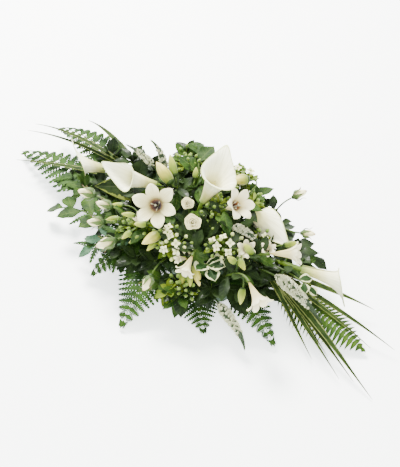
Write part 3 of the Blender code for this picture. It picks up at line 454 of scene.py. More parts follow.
streaks, given, made = new_group("fine_streaks", {"Count": 30.0, "Stretch": 2.0}, ["Mask", "Along"])
u, v = map_axes(streaks)
lengthwise = put(streaks, "ShaderNodeCombineXYZ", {
    0: arithmetic(streaks, "MULTIPLY", u, given["Count"]),
    1: arithmetic(streaks, "MULTIPLY", v, given["Stretch"])}).outputs[0]
fibres = put(streaks, "ShaderNodeTexNoise", {"Vector": lengthwise, "Scale": 1.0, "Detail": 2.0})
streaks.links.new(ease(streaks, fibres.outputs["Fac"], 0.36, 0.66), made["Mask"])
streaks.links.new(v, made["Along"])
print("node groups:", ", ".join(group.name for group in bpy.data.node_groups))


# %% Leaf, petal and stem finishes
# Scales of the soft unevenness: more is finer.
LEAF_PATCHES = 55.0
MARGIN_PATCHES = 160.0
PETAL_PATCHES = 45.0
# How much of the veins' colour shows, how far a margin wanders, and where it starts and ends.
VEIN_SHOW = 0.55
MARGIN_WANDER = 0.22
MARGIN_SOFT = (0.08, 0.14)
# Heights of the relief, in metres.
LEAF_RELIEF = 0.0005
PETAL_RELIEF = 0.0003
RELIEF_STRENGTH = 0.6


def new_finish(name, roughness, coat=0.0, sheen=0.0, specular=0.35):
    """A material with its Principled shader set up."""
    finishes[name] = bpy.data.materials.new(name)
    finishes[name].use_nodes = True
    tree = finishes[name].node_tree
    shader = tree.nodes["Principled BSDF"]
    shader.inputs["Roughness"].default_value = roughness
    shader.inputs["Coat Weight"].default_value = coat
    shader.inputs["Sheen Weight"].default_value = sheen
    shader.inputs["Specular IOR Level"].default_value = specular
    return tree, shader


def colour_and_relief(tree, shader, colour, height, distance):
    """Feed the shader's colour, and its normal from a height in metres."""
    tree.links.new(colour, shader.inputs["Base Color"])
    bump = put(tree, "ShaderNodeBump", {"Height": height, "Distance": distance,
                                       "Strength": RELIEF_STRENGTH})
    tree.links.new(bump.outputs["Normal"], shader.inputs["Normal"])


def leaf_finish(name, dark, light, vein, count, slant, roughness=0.42, coat=0.0, edge=None,
                edge_from=0.62):
    """A veined leaf, uneven between two greens. edge is the colour of a variegated margin."""
    tree, shader = new_finish(name, roughness + 0.12, coat, 0.0, 0.07)
    lines = use_group(tree, veins, Veins=count, Slant=slant)
    colour = blend(tree, use_group(tree, mottle, Scale=LEAF_PATCHES)["Mask"], dark, light)
    colour = blend(tree, arithmetic(tree, "MULTIPLY", lines["Mask"], VEIN_SHOW), colour, vein)
    if edge:
        wander = use_group(tree, mottle, Scale=MARGIN_PATCHES)["Mask"]
        reach = arithmetic(tree, "MULTIPLY_ADD", wander, MARGIN_WANDER, lines["Across"])
        start, end = (edge_from + step for step in MARGIN_SOFT)
        colour = blend(tree, ease(tree, reach, start, end), colour, edge)
    colour_and_relief(tree, shader, colour, lines["Height"], LEAF_RELIEF)


def petal_finish(name, stops, shade, strength, count, roughness=0.48, sheen=0.15):
    """A petal or bud: stops lists (share of its length, colour), shade is its streaks' colour."""
    tree, shader = new_finish(name, roughness, 0.0, sheen, 0.20)
    fine = use_group(tree, streaks, Count=count)
    patches = use_group(tree, mottle, Scale=PETAL_PATCHES)["Mask"]
    ramp = put(tree, "ShaderNodeValToRGB", {"Fac": fine["Along"]})
    ramp.color_ramp.interpolation = "EASE"
    points = ramp.color_ramp.elements
    while len(points) < len(stops):
        points.new(0.5)
    for point, (share, *colour) in zip(points, stops):
        point.position = share
        point.color = (*colour, 1.0)
    amount = arithmetic(tree, "MULTIPLY", arithmetic(tree, "MULTIPLY_ADD", patches, 0.5, 0.5),
                        arithmetic(tree, "MULTIPLY", fine["Mask"], strength))
    colour = blend(tree, amount, ramp.outputs["Color"], shade)
    colour_and_relief(tree, shader, colour, fine["Mask"], PETAL_RELIEF)


def grain_finish(name, dark, light, scale, roughness, distance=PETAL_RELIEF, coat=0.0):
    """A speckled or porous finish between two colours, in Object coordinates."""
    tree, shader = new_finish(name, roughness, coat)
    patches = use_group(tree, mottle, Scale=scale)["Mask"]
    fine = use_group(tree, mottle, Scale=scale * 4)["Mask"]
    colour = blend(tree, arithmetic(tree, "MULTIPLY_ADD", fine, 0.4,
                                    arithmetic(tree, "MULTIPLY", patches, 0.6)), dark, light)
    colour_and_relief(tree, shader, colour, fine, distance)


# %% The tables of finishes
# Every colour is red, green and blue. A petal's stops run from its root to its tip, each a share
# of its length and then a colour.
for row in table("""
name, dark, light, vein, veins, slant, roughness, coat, edge, edge from
fern_leaf, 0.006 0.021 0.0026, 0.023 0.057 0.007, 0.044 0.08 0.01, 7, 0.6
sword_fern_leaf, 0.012 0.034 0.0026, 0.038 0.076 0.007, 0.056 0.092 0.015, 12, 0.5
broad_leaf, 0.007 0.023 0.0026, 0.027 0.058 0.0065, 0.07 0.1 0.022, 7, 1.2
young_leaf, 0.038 0.07 0.003, 0.105 0.145 0.009, 0.15 0.175 0.024, 7, 1.2
dark_glossy_leaf, 0.0042 0.009 0.0026, 0.0135 0.026 0.006, 0.02 0.037 0.008, 8, 1.2, 0.34, 0.03
folded_striped_leaf, 0.0026 0.008 0.001, 0.01 0.02 0.0028, 0.03 0.042 0.01, 0, 7, 0.34, 0.03, \
    0.095 0.115 0.018, 0.74
white_edged_leaf, 0.004 0.015 0.0024, 0.012 0.033 0.006, 0.027 0.053 0.015, 7, 1.1, 0.38, 0.03, \
    0.4 0.42 0.22
blue_green_leaf, 0.022 0.06 0.03, 0.055 0.11 0.06, 0.09 0.15 0.095, 6, 1, 0.5
grass_leaf, 0.006 0.0165 0.002, 0.0185 0.037 0.0045, 0.04 0.06 0.013, 0, 9, 0.4, 0, \
    0.12 0.14 0.04, 0.78
"""):
    leaf_finish(*row)
# In calla_petal the green root and tip are the spathe's own colour; the deeper yellow round the
# throat is partly its own tint and partly painted shade.
# In rose_petal the dark stops near each petal's root are painted shade between the petals; the
# cream towards the rim is the petals' own colour.
# The freesia throat lining's near-black deep stops are painted shade inside the tube, over the
# throat's own red-brown and yellow.
for row in table("""
name, stops, shade, strength, streaks, roughness, sheen
green_stem, 0 0.009 0.026 0.0022 / 1 0.046 0.08 0.006, 0.0055 0.0135 0.0015, 0.5, 8, 0.5, 0
calla_stem, 0 0.028 0.062 0.0055 / 1 0.092 0.15 0.015, 0.018 0.04 0.005, 0.45, 14, 0.4, 0
calla_petal, 0 0.12 0.18 0.022 / 0.16 0.31 0.34 0.074 / 0.34 0.47 0.44 0.15 / \
    0.5 0.68 0.64 0.33 / 0.68 0.84 0.82 0.54 / 0.96 0.9 0.89 0.66 / 1 0.56 0.62 0.24, \
    0.46 0.44 0.2, 0.42, 60, 0.42
freesia_open_petal, 0 0.16 0.17 0.025 / 0.2 0.36 0.33 0.085 / 0.36 0.46 0.38 0.14 / \
    0.52 0.66 0.6 0.32 / 0.76 0.81 0.78 0.48 / 1 0.81 0.78 0.48, 0.44 0.37 0.16, 0.5, 22
freesia_throat, 0 0.018 0.0014 0.0009 / 0.55 0.055 0.0055 0.0028 / 0.8 0.17 0.06 0.016 / \
    1 0.4 0.28 0.095, 0.03 0.003 0.0015, 0.45, 30
freesia_funnel_petal, 0 0.18 0.12 0.022 / 0.14 0.36 0.28 0.074 / 0.36 0.55 0.47 0.21 / \
    0.62 0.74 0.69 0.46 / 1 0.81 0.78 0.48, 0.44 0.37 0.16, 0.48, 22
freesia_young_bud, 0 0.04 0.08 0.005 / 0.35 0.13 0.18 0.01 / 0.75 0.26 0.29 0.022 / \
    1 0.42 0.4 0.085, 0.085 0.13 0.009, 0.5, 12
freesia_bud, 0 0.044 0.089 0.0074 / 0.2 0.12 0.16 0.012 / 0.45 0.3 0.28 0.028 / \
    0.75 0.56 0.47 0.1 / 1 0.68 0.57 0.22, 0.14 0.15 0.014, 0.55, 12
rose_petal, 0 0.12 0.095 0.018 / 0.5 0.3 0.23 0.06 / 0.8 0.5 0.42 0.16 / 0.93 0.72 0.66 0.34 / \
    1 0.8 0.76 0.43, 0.38 0.3 0.1, 0.45, 18, 0.55
rose_bud_petal, 0 0.27 0.28 0.08 / 0.3 0.62 0.59 0.28 / 0.8 0.76 0.71 0.41 / 1 0.37 0.19 0.12, \
    0.44 0.34 0.16, 0.45, 12, 0.5
rose_sepal, 0 0.048 0.088 0.015 / 0.6 0.075 0.12 0.022 / 1 0.12 0.061 0.02, 0.034 0.048 0.01, \
    0.4, 8, 0.5
star_floret_petal, 0 0.3 0.37 0.06 / 0.35 0.62 0.61 0.28 / 1 0.8 0.77 0.51, 0.58 0.58 0.41, \
    0.25, 8
pale_floret_bud, 0 0.082 0.14 0.02 / 0.4 0.22 0.27 0.054 / 1 0.45 0.46 0.2, 0.15 0.19 0.041, \
    0.4, 8
green_berry, 0 0.022 0.055 0.0045 / 0.5 0.075 0.14 0.01 / 1 0.17 0.24 0.025, 0.036 0.075 0.006, \
    0.4, 8, 0.4
"""):
    petal_finish(*row)
for row in table("""
name, dark, light, scale, roughness, relief, coat
spadix_pale, 0.31 0.28 0.074, 0.52 0.46 0.18, 700, 0.8, 0.0006
stamen_cream, 0.41 0.37 0.21, 0.65 0.62 0.46, 900, 0.8
veronica_floret, 0.42 0.44 0.25, 0.76 0.76 0.58, 420, 0.8
veronica_green_bud, 0.0082 0.02 0.0068, 0.051 0.078 0.034, 420, 0.7
wet_foam, 0.008 0.026 0.01, 0.03 0.07 0.026, 900, 0.9, 0.0005
tray_plastic, 0.012 0.045 0.018, 0.02 0.062 0.026, 90, 0.35, 0.00005, 0.2
"""):
    grain_finish(*row)
for node, finish in (("foam_block", "wet_foam"), ("spray_tray", "tray_plastic")):
    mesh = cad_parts[node].data
    mesh.materials.clear()
    mesh.materials.append(finishes[finish])
print(len(bpy.data.materials), "finishes")

# %% [markdown]
# ## Callas
# A calla's white part is a single leaf, the spathe, rolled into a funnel whose two edges overlap
# at the low side and whose lip rolls outwards to one drawn-out point. A spun cone would be the
# same all round. Here one grid is wrapped a little further than a full turn, so one edge really
# lies over the other. Inside stands the spadix, a pale club covered in grains of pollen.

# %% Calla shapes
CALLA_NECK = 0.0052
CALLA_STEM = 0.0036
SPATHE_OVERLAP = 0.30
SPADIX_WIDTHS = (0.0026, 0.0030, 0.0029, 0.0024, 0.0)
SPADIX_FROM = 0.12
SPADIX_LENGTH = 0.40
STALK_END = 0.13
CALLAS = table("""
name, face, base mm, aim, side, length mm, mouth mm, low, lobe mm, foot mm
calla_centre, top, 15 9 112, 0.15 0.56 0.82, -0.67 0.55 -0.5, 78, 21.5, 0.58, 6, -
calla_left, top, -64 -9 112, -0.74 -0.6 0.32, -0.66 0.62 -0.42, 80, 16.5, 0.58, 0, -
calla_far_left, left, -185 2 66, -0.82 -0.54 0.2, -0.46 0.53 0.71, 62, 12.5, 0.58, 0, -2 50
calla_right, top, 74 35 122, 0.67 0.39 -0.63, 0.58 -0.66 0.47, 72, 19, 0.58, 0, 66 30
calla_low_right, right, 189 29 70, 0.86 0.46 -0.22, 0.46 -0.53 -0.71, 74, 11.6, 0.8, 0, 32 44
""")


def spathe(length, mouth, low, lobe, phase):
    """The rolled funnel of a calla, its long side at +X. lobe spreads its left and right sides."""
    def place(u, v):
        turn = 2 * u - 1
        angle = turn * (math.pi + SPATHE_OVERLAP)
        back = (1 + math.cos(clamp(angle, math.pi))) / 2
        flare = CALLA_NECK + (mouth - CALLA_NECK) * v ** 1.4 + 0.004 * v ** 7 + 0.0016 * v ** 16
        flare += turn * 0.0008 + 0.0012 * v ** 6 * math.sin(3 * angle + phase)
        flare += lobe * v ** 4 * math.sin(angle) ** 2 * (0.6 if angle < 0 else 1.0)
        tip = back ** 7 * v ** 5
        x = flare * math.cos(angle) * (1 + 0.25 * tip) + length * 0.18 * tip
        z = length * v * (low + (1 - low) * back ** 1.5) - 0.05 * length * v ** 8 * (1 - back)
        z += 0.10 * length * back ** 9 * v ** 6 - 0.0026 * v ** 16
        pinch = 1 - 0.42 * back ** 2.5 * v ** 3
        return Vector((x, flare * math.sin(angle) * pinch, z))

    return thicken(surface(56, 34, place), PETAL_SKIN)


def spadix(base, aim, length):
    """The pale club, knobbed all over."""
    def radius(t, angle):
        body = through(SPADIX_WIDTHS, t)
        return body * (1 + 0.10 * math.cos(9 * angle + 46 * t) * math.cos(60 * t))

    return tube(along(lambda t: base + aim * length * (SPADIX_FROM + SPADIX_LENGTH * t), 30),
                radius, 18)


# %% Build the callas
for i, (name, face, base, aim, side, length, mouth, low, lobe, foot) in enumerate(CALLAS):
    funnel = spathe(length, mouth, low, lobe, 1.3 * i)
    funnel.transform(stand(base, aim, side))
    # calla_petal's deeper yellow round the throat is partly the spathe's own tint and partly
    # painted shade.
    make_piece(name + "_funnel", "calla_white", "calla_petal", [funnel], name + "_spathe")
    root, curve = stem_curve(name, face, base, aim, foot)
    stalk = tube([root] + along(curve, 16) + [base + aim * length * STALK_END], CALLA_STEM, 12)
    for part, finish, shape in (("_stalk", "calla_stem", stalk),
                                ("_spadix", "spadix_pale", spadix(base, aim, length))):
        make_piece(name + part, "calla_green", finish, [shape], name + "_stem")

# %% [markdown]
# ## Freesias
# A freesia is a funnel of six petals in two rings of three, with stamens and a split style inside.
# Its buds sit on short branches of the same stem, fat and cream, or small and green. Every petal
# is its own sheet, so that neighbours overlap at their edges as they grow. One sheet with slits
# would look cut out.

# %% Freesia shapes
FREESIA_LENGTH = 0.048
FREESIA_SPREAD = 0.033
FREESIA_STEM = 0.0017
SEAT_RADIUS = 0.0030
FILAMENT = 0.0005
STYLE_ARM = 0.0032
ANTHER = 0.0013
THROAT_SKIN = 0.0004
BUD_BRANCH = 0.0012
BLOOM_SEAT = 0.0005
YOUNG_GIRTH = 0.0067
THROAT_FROM = 0.12
THROAT_TO = 0.40
THROAT_INSET = 0.0011
FREESIA_REACH = (0.03, 0.14, 0.34, 0.66, 0.90, 1.0)
FREESIA_HEIGHT = (0.0, 0.20, 0.62, 0.86, 0.93, 0.90)
FREESIA_WIDTH = (34, 34, 33, 27, 11, 0.5)
THROAT_BLOOMS = ("freesia_big", "freesia_crown")
# Forms of beads: sides, rings, belly, crease, lobes and twist.
ANTHER_FORM = (8, 6, 1.0, 0.3, 2)
BUD_FORM = (14, 14, 0.75, 0.20, 3, 1.6)
BRACT_FORM = (10, 7, 0.75)
FREESIAS = table("""
name, face, base mm, aim, size, spread, foot mm
freesia_big, top, -24 -47 121, 0.4 -0.6 0.69, 1.05, 1, -
freesia_crown, top, 66 3 134, 0.71 0.05 0.7, 0.8, 1, 48 4
freesia_right, right, 159 -10 112, 0.85 0.49 0.21, 0.95, 0.6, -4 56
freesia_low, front, 163 -62 98, 0.87 -0.36 -0.35, 0.85, 0.75, 83 38
freesia_front, front, 72 -81 104, 0.25 -0.9 -0.35, 0.62, 0.8, 36 54
""")
BUD_STEMS = table("""
name, face, head mm, aim, foot mm
freesia_back_buds, top, -36 6 118, -0.3 0.1 0.9, -48 28
freesia_side_buds, front, -30 -80 100, -0.5 -0.7 0.3, -10 52
""")
BUDS = table("""
stem, share, base mm, tip mm, girth mm
freesia_big, 0.55, -17 -81 112, -29 -96 115, 5.6
freesia_crown, 0.5, 53 72 137, 34 51 139, 8.5
freesia_right, 0.95, 153 30 96, 170 46 99, 4.6
freesia_right, 0.6, 142 -27 112, 126 -31 128, 6.2
freesia_low, 0.84, 156 -66 84, 166 -84 70, 5.6
freesia_low, 0.55, 129 -50 104, 117 -56 115, 5
freesia_low, 0.7, 127 -41 106, 145 -49 99, 5.4
freesia_front, 0.8, 63 -91 70, 71 -103 62, 5.6
freesia_front, 0.86, 71 -75 86, 96 -92 65, 7
freesia_back_buds, 0.96, -35 -5 128, -72 1 148, 9.2
freesia_back_buds, 0.98, -41 9 130, -65 24 152, 6.6
freesia_side_buds, 0.8, 7 -75 104, -5 -106 97, 8.2
freesia_side_buds, 0.98, -37 -84 118, -53 -97 122, 4.4
freesia_side_buds, 0.98, -25 -105 110, -30 -122 103, 4.4
""")


def freesia_petal(index, length, spread):
    """One of six petals; the odd ones stand a little inside their neighbours."""
    inner = index % 2
    middle = math.radians(60 * index + 30)

    def place(u, v):
        across = 2 * u - 1
        part = v * (1 - 0.05 * across * across * v)
        angle = middle + math.radians(through(FREESIA_WIDTH, part)) * across
        reach = spread * through(FREESIA_REACH, part) * (1 - 0.06 * inner)
        ruffle = 0.0016 * v ** 3 * across * across * math.sin(9 * v + 2.1 * index + across)
        groove = 0.0030 * v * v * (across * across - 0.5) * (1.2 - v)
        height = length * through(FREESIA_HEIGHT, part) + ruffle - groove + 0.0016 * inner * v
        return polar(angle, reach, height)

    return thicken(surface(10, 18, place), PETAL_SKIN)


def freesia_petals(base, aim, length, spread):
    """The six petals of a bloom, in their places."""
    petals = [freesia_petal(index, length, spread) for index in range(6)]
    for petal in petals:
        petal.transform(upright(base, aim))
    return petals


def throat(base, aim, length, spread):
    """A lining inside the tube of an open freesia: the throat's own red-brown and yellow, darkened
    to near black deep inside as painted shade.
    """
    matrix = upright(base, aim)

    def place(u, v):
        part = THROAT_FROM + (THROAT_TO - THROAT_FROM) * v
        reach = spread * through(FREESIA_REACH, part) * 0.93 - THROAT_INSET
        height = length * through(FREESIA_HEIGHT, part) + THROAT_INSET * 0.6
        return matrix @ polar(math.tau * u, reach, height)

    return thicken(surface(24, 10, place), THROAT_SKIN)


def stamens(base, aim, length):
    """Three filaments with their long anthers, and a style that ends in a split star."""
    matrix = upright(base, aim)
    shapes = []
    for i in range(3):
        lean = polar(math.tau * i / 3 + 0.5, 0.20, 1.0)
        points = [matrix @ (lean * length * (0.16 + 0.13 * step)) for step in range(4)]
        shapes.append(tube(points, FILAMENT, 6))
        top = stand(points[-1], matrix.to_3x3() @ lean, aim.orthogonal())
        shapes.append(bead(top, length * 0.20, ANTHER, *ANTHER_FORM))
    points = [matrix @ Vector((0, 0, length * (0.16 + 0.15 * step))) for step in range(5)]
    shapes.append(tube(points, FILAMENT, 6))
    for i in range(5):
        way = matrix.to_3x3() @ polar(math.tau * i / 5, 1.0, 0.7)
        arm = [points[-1] + way * (STYLE_ARM * share) for share in (0, 0.5, 1)]
        shapes.append(tube(arm, lambda t, a: FILAMENT * (1 - t), 5))
    return shapes


def bud_on(curve, share, base, tip, girth):
    """A swollen bud between two points, and the branch and bract that carry it."""
    way = (tip - base).normalized()
    length = (tip - base).length
    here = upright(base - way * 0.001, way)
    bud = bead(here, length + 0.001, girth * 1.08, *BUD_FORM)
    bract = bead(here, length * 0.34, girth * 0.80, *BRACT_FORM)
    return bud, [branch(curve, share, base, way, BUD_BRANCH), bract]


def bud_stem(name, node, face, head, aim, foot, end_radius=FREESIA_STEM):
    """A green stem with its buds, in pieces that stand for one plain solid."""
    root, curve = stem_curve(name, face, head, aim, foot)
    swell = end_radius - FREESIA_STEM
    greens = [stem(root, curve, lambda t, a: FREESIA_STEM + swell * t ** 16, 16)]
    pale = []
    young = []
    for row in rows_of(BUDS, name):
        bud, carriers = bud_on(curve, *row)
        (pale if row[-1] > YOUNG_GIRTH else young).append(bud)
        greens += carriers
    for part, finish, shapes in (("_green", "green_stem", greens), ("_comb", "freesia_bud", pale),
                                 ("_young_buds", "freesia_young_bud", young)):
        if shapes:
            make_piece(name + part, "freesia_green", finish, shapes, node)


# %% Build the freesias
for name, face, base, aim, size, spread, foot in FREESIAS:
    length, spread = FREESIA_LENGTH * size, FREESIA_SPREAD * size * spread
    # The throat lining is a sheet of painted shade deep in the tube, over the throat's own
    # red-brown and yellow.
    if name in THROAT_BLOOMS:
        make_piece(name + "_throat", "freesia_cream", "freesia_throat",
                   [throat(base, aim, length, spread)], name + "_bloom")
    finish = "freesia_open_petal" if name == THROAT_BLOOMS[0] else "freesia_funnel_petal"
    make_piece(name + "_petals", "freesia_cream", finish,
               freesia_petals(base, aim, length, spread), name + "_bloom")
    make_piece(name + "_stamens", "freesia_cream", "stamen_cream", stamens(base, aim, length),
               name + "_bloom")
    bud_stem(name, name + "_stem", face, base - aim * BLOOM_SEAT, aim, foot, SEAT_RADIUS)
for name, face, head, aim, foot in BUD_STEMS:
    bud_stem(name, name, face, head, aim, foot)

# %% Small blooms and buds between the large ones
SMALL_BLOOMS = table("""
stem, share, base mm, aim, size, spread
freesia_low, 0.62, 116 -12 92, 0.42 -0.45 0.78, 0.56, 0.8
freesia_right, 0.62, 138 4 94, 0.55 -0.3 0.78, 0.52, 0.72
freesia_side_buds, 0.92, -34 -62 96, 0.05 -0.75 0.65, 0.48, 0.8
freesia_front, 0.55, 60 -78 88, -0.25 -0.8 0.45, 0.42, 0.6
""")
SMALL_BUDS = table("""
stem, share, base mm, tip mm, girth mm
freesia_side_buds, 0.9, -78 -66 101, -97 -75 97, 4.2
freesia_side_buds, 0.8, -68 -86 95, -86 -99 90, 4.4
freesia_side_buds, 0.6, -22 -90 90, -31 -107 82, 4.6
freesia_side_buds, 0.5, 5 -84 92, 1 -102 83, 4.8
freesia_back_buds, 0.7, -28 40 112, -36 52 124, 4.6
freesia_crown, 0.6, 30 26 108, 24 30 122, 4.2
freesia_low, 0.5, 110 -40 92, 120 -56 88, 4.8
freesia_front, 0.7, 76 -90 78, 88 -104 68, 4.6
""")
petals = []
fine = []
greens = []
for name, share, base, aim, size, spread in SMALL_BLOOMS:
    petals += freesia_petals(base, aim, FREESIA_LENGTH * size, FREESIA_SPREAD * size * spread)
    fine += stamens(base, aim, FREESIA_LENGTH * size)
    greens.append(branch(stems[name], share, base + aim * 0.002, aim,
                         lambda t, a: BUD_BRANCH * (1 + 0.8 * t ** 6)))
buds = []
for name, *row in SMALL_BUDS:
    bud, carriers = bud_on(stems[name], *row)
    buds.append(bud)
    greens += carriers
for part, slot, finish, shapes in (("petals", "freesia_cream", "freesia_funnel_petal", petals),
                                   ("stamens", "freesia_cream", "stamen_cream", fine),
                                   ("buds", "freesia_green", "freesia_young_bud", buds),
                                   ("branches", "freesia_green", "green_stem", greens)):
    make_piece("freesia_small_" + part, slot, finish, shapes)

# %% [markdown]
# ## Spray roses
# An open spray rose is a spiral of cupped petals, tight and upright in the heart and rolled back
# at the rim. Its buds are pointed and twisted, in five narrow sepals over a round green hip. A
# sphere with a rose pattern on it would show no shadow between its petals, so each petal is a
# sheet.

# %% Rose shapes
GOLDEN_ANGLE = math.radians(137.5)
ROSE_STEM = 0.0016
ROSE_BRANCH = 0.0012
ROSE_PITCH = 0.0016
ROSE_SKIN = 0.0005
HIP_LENGTH = 1.6
HIP_WIDTHS = (0.3, 0.8, 1.0, 0.9)
HEART_FORM = (16, 11, 0.7, 0.4, 3, 5.0)
HIP_FORM = (12, 8, 0.85)
ROSE_BUD_FORM = (20, 18, 0.78, 0.28, 3, 5.0)
SEPAL_REACH = (0.08, 0.27, 0.28, 0.25, 0.38)
SEPAL_OUTLINE = (0.6, 1.0, 0.7, 0.35, 0.0)
ROSE_RINGS = (0.05, 0.10, 0.15, 0.34, 0.38, 0.42, 0.46, 0.66, 0.70, 0.74, 0.78, 0.82, 0.94, 0.97,
              1.0)
ROSE_FORK = Vector((0.022, -0.030, 0.096))
ROSE_HEARTS = table("""
name, base mm, aim, width mm, height mm, turns, hip mm
rose_open_large, 43 -46 128, 0.45 -0.52 0.72, 10.2, 15, 2.8, 4.2
rose_open_small, 14 -24 132, 0.4 -0.55 0.73, 7.8, 11.5, 2.2, 3.4
""")
ROSE_BUD_STEMS = table("""
name, face, fork mm, foot mm
rose_buds_left, front, -60 -82 88, -40 52
rose_bud_front, front, 30 -104 80, 12 50
rose_buds_back, back, 90 98 80, 44 57
""")
ROSE_BUDS = table("""
stem, base mm, aim, length mm
rose_buds_left, -120 -82 106, -0.92 -0.25 -0.05, 30
rose_buds_left, -74 -92 118, -0.9 -0.35 0.05, 26
rose_buds_left, -74 -110 100, -0.85 -0.4 -0.2, 28
rose_buds_left, -42 -118 92, -0.6 -0.7 -0.3, 32
rose_bud_front, 36 -128 80, 0.05 -0.75 -0.6, 26
rose_buds_back, 105 110 104, 0.45 0.7 0.3, 24
rose_buds_back, 150 74 86, 0.85 0.45 0.1, 22
""")


def rose_petal_sheet(share, turn, wide, tall, turns):
    """One cupped petal at a share of the spiral from the heart to the rim."""
    low = 0.0012 + ROSE_PITCH * turns * share * wide / tall
    high = 0.0016 + (wide - 0.0016) * share ** 0.8
    height = tall * (1.12 - 0.52 * share * share)
    spread = math.radians(70 - 22 * share)

    def place(u, v):
        across = 2 * u - 1
        part = v * (1 - 0.20 * across * across * v)
        angle = turn + spread * across * (0.55 + 0.45 * v)
        roll = wide * (0.06 + 0.20 * share) * v ** 7
        reach = low + (high - low) * part ** 1.4 + roll
        reach += 0.07 * wide * math.sin(5 * across + 5 * turn) * v * v
        return polar(angle, reach, height * part - 0.20 * wide * share * v ** 7)

    return thicken(surface(10, 10, place), ROSE_SKIN)


def blade(curve, width, outline, up=UP, across=6, along=16, fold=0.14, wave=0.0, waves=4.0):
    """A leaf whose rib follows a curve; outline lists its widths evenly from root to tip."""
    frames = rib_frames(curve, 0.0, 1.0, along + 1, up)

    def place(u, v):
        point, side, over, tangent = frames[round(v * along)]
        hand = 2 * u - 1
        half = width / 2 * through(outline, v)
        lift = fold * half * abs(hand) ** 1.4
        lift += wave * half * hand * hand * math.sin(waves * math.tau * v + 2.2 * (hand > 0))
        return point + side * (hand * half) + over * lift

    return thicken(surface(across, along, place))


def sepals(matrix, length):
    """Five narrow sepals that clasp a bud and turn back at their tips."""
    axis = matrix.to_3x3() @ UP
    shapes = []
    for i in range(5):
        out = matrix.to_3x3() @ polar(math.tau * i / 5, 1.0)

        def curve(t):
            away = length * (0.05 + through(SEPAL_REACH, t))
            return matrix.translation + axis * (length * (0.16 + 0.70 * t)) + out * away

        shapes.append(blade(curve, length * 0.24, SEPAL_OUTLINE, out, 4, 10, fold=-0.2))
    return shapes


# %% Build the roses
root, curve = stem_curve("rose_open", "top", ROSE_FORK, ROSE_FORK - foot_on_foam("top", ROSE_FORK))
greens = [stem(root, curve, ROSE_STEM)]
for name, base, aim, wide, tall, turns, hip in ROSE_HEARTS:
    petals = [rose_petal_sheet(share, GOLDEN_ANGLE * i, wide, tall, turns)
              for i, share in enumerate(ROSE_RINGS)]
    for petal in petals:
        petal.transform(upright(base, aim))
    petals.append(bead(upright(base, aim), tall * 1.09, wide * 0.25, *HEART_FORM))
    # rose_petal darkens every petal and the heart towards the root: painted shade between the
    # petals.
    make_piece(name + "_petals", "rose_cream", "rose_petal", petals, name)
    cup = upright(base - aim * (hip * HIP_LENGTH + 0.0003), aim)
    rim = along(lambda t: cup @ Vector((0, 0, hip * HIP_LENGTH * t)), 8)
    greens.append(tube(rim, lambda t, a: hip * through(HIP_WIDTHS, t), 12))
    greens.append(branch(curve, 0.9, cup @ Vector((0, 0, hip * 0.3)), aim, ROSE_BRANCH))
make_piece("rose_open_branches", "rose_green", "green_stem", greens, "rose_open_stem")
for name, face, fork, foot in ROSE_BUD_STEMS:
    root, curve = stem_curve(name, face, fork, fork - foot_on_foam(face, fork, foot), foot)
    branches = [stem(root, curve, ROSE_STEM)]
    buds = []
    clasps = []
    for i, (base, aim, length) in enumerate(rows_of(ROSE_BUDS, name)):
        here = upright(base, aim)
        inside = upright(base + aim * length * 0.20, aim)
        branches.append(branch(curve, 0.98 - 0.12 * i, base, aim, ROSE_BRANCH))
        branches.append(bead(here, length * 0.34, length * 0.145, *HIP_FORM))
        buds.append(bead(inside, length * 0.92, length * 0.27, *ROSE_BUD_FORM))
        clasps += sepals(here, length)
    make_piece(name + "_branches", "rose_green", "green_stem", branches, name)
    make_piece(name + "_white", "rose_bud", "rose_bud_petal", buds, name)
    make_piece(name + "_sepals", "rose_green", "rose_sepal", clasps, name)

# %% [markdown]
# ## Veronica
# A veronica spike carries hundreds of florets that open from the bottom up, so it is white and
# rough below, and a smooth run of green buds at its tip. Between the white florets their dark
# calyxes show, and long stamens blur its edge. A floret that is repeated hundreds of times must be
# plain, so each is a five-sided cup made by the cone operator, set on the axis by the golden
# angle, as on the plant.

# %% Veronica shapes
FINE_STEM = 0.0014
TWIN_STEM = 0.0011
TWIN_START = 0.45
HAIR = 0.00022
FLORET_PITCH = 0.00024
OPEN_SHARE = 0.66
FLORET_CHANCE = 0.50
VERONICAS = table("""
name, face, tip mm, spike mm, girth mm, aim, foot mm, knee mm, fall mm, side tip mm, side aim
veronica_back, top, -112 31 150, 58, 6, -0.89 -0.1 0.3, -, -, -, -152 16 128, -0.95 -0.2 0.1
veronica_middle, top, 143 4 92, 66, 6.8, 0.75 0.02 -0.5, 80 -14, 74 -8 118, 92 2 134, -, -
veronica_right, right, 255 -4 28, 94, 9.2, 0.6 0.1 -0.8, -14 44, 144 -10 88, 204 -9 84, -, -
veronica_front, front, 196 -108 14, 90, 8, 0.3 -0.2 -0.8, 70 42, -, -, -, -
""")


def curve_length(curve):
    """The length of a curve, in twenty steps."""
    return sum((curve((i + 1) / 20) - curve(i / 20)).length for i in range(20))


def floret_cup(matrix, wide, deep):
    """A floret: a little open cup, wide at its mouth."""
    shape = bmesh.new()
    shape.loops.layers.uv.new("UVMap")
    bmesh.ops.create_cone(shape, cap_ends=True, segments=5, radius1=wide * 0.3, radius2=wide,
                          depth=deep, matrix=matrix @ Matrix.Translation((0, 0, deep / 2)))
    mouth = [face for face in shape.faces if len(face.verts) == 5]
    mouth.sort(key=lambda face: -(face.calc_center_median() - matrix.translation).length)
    bmesh.ops.inset_region(shape, faces=mouth[:1], thickness=wide * 0.25, depth=-deep * 0.4)
    return face_outwards(shape)


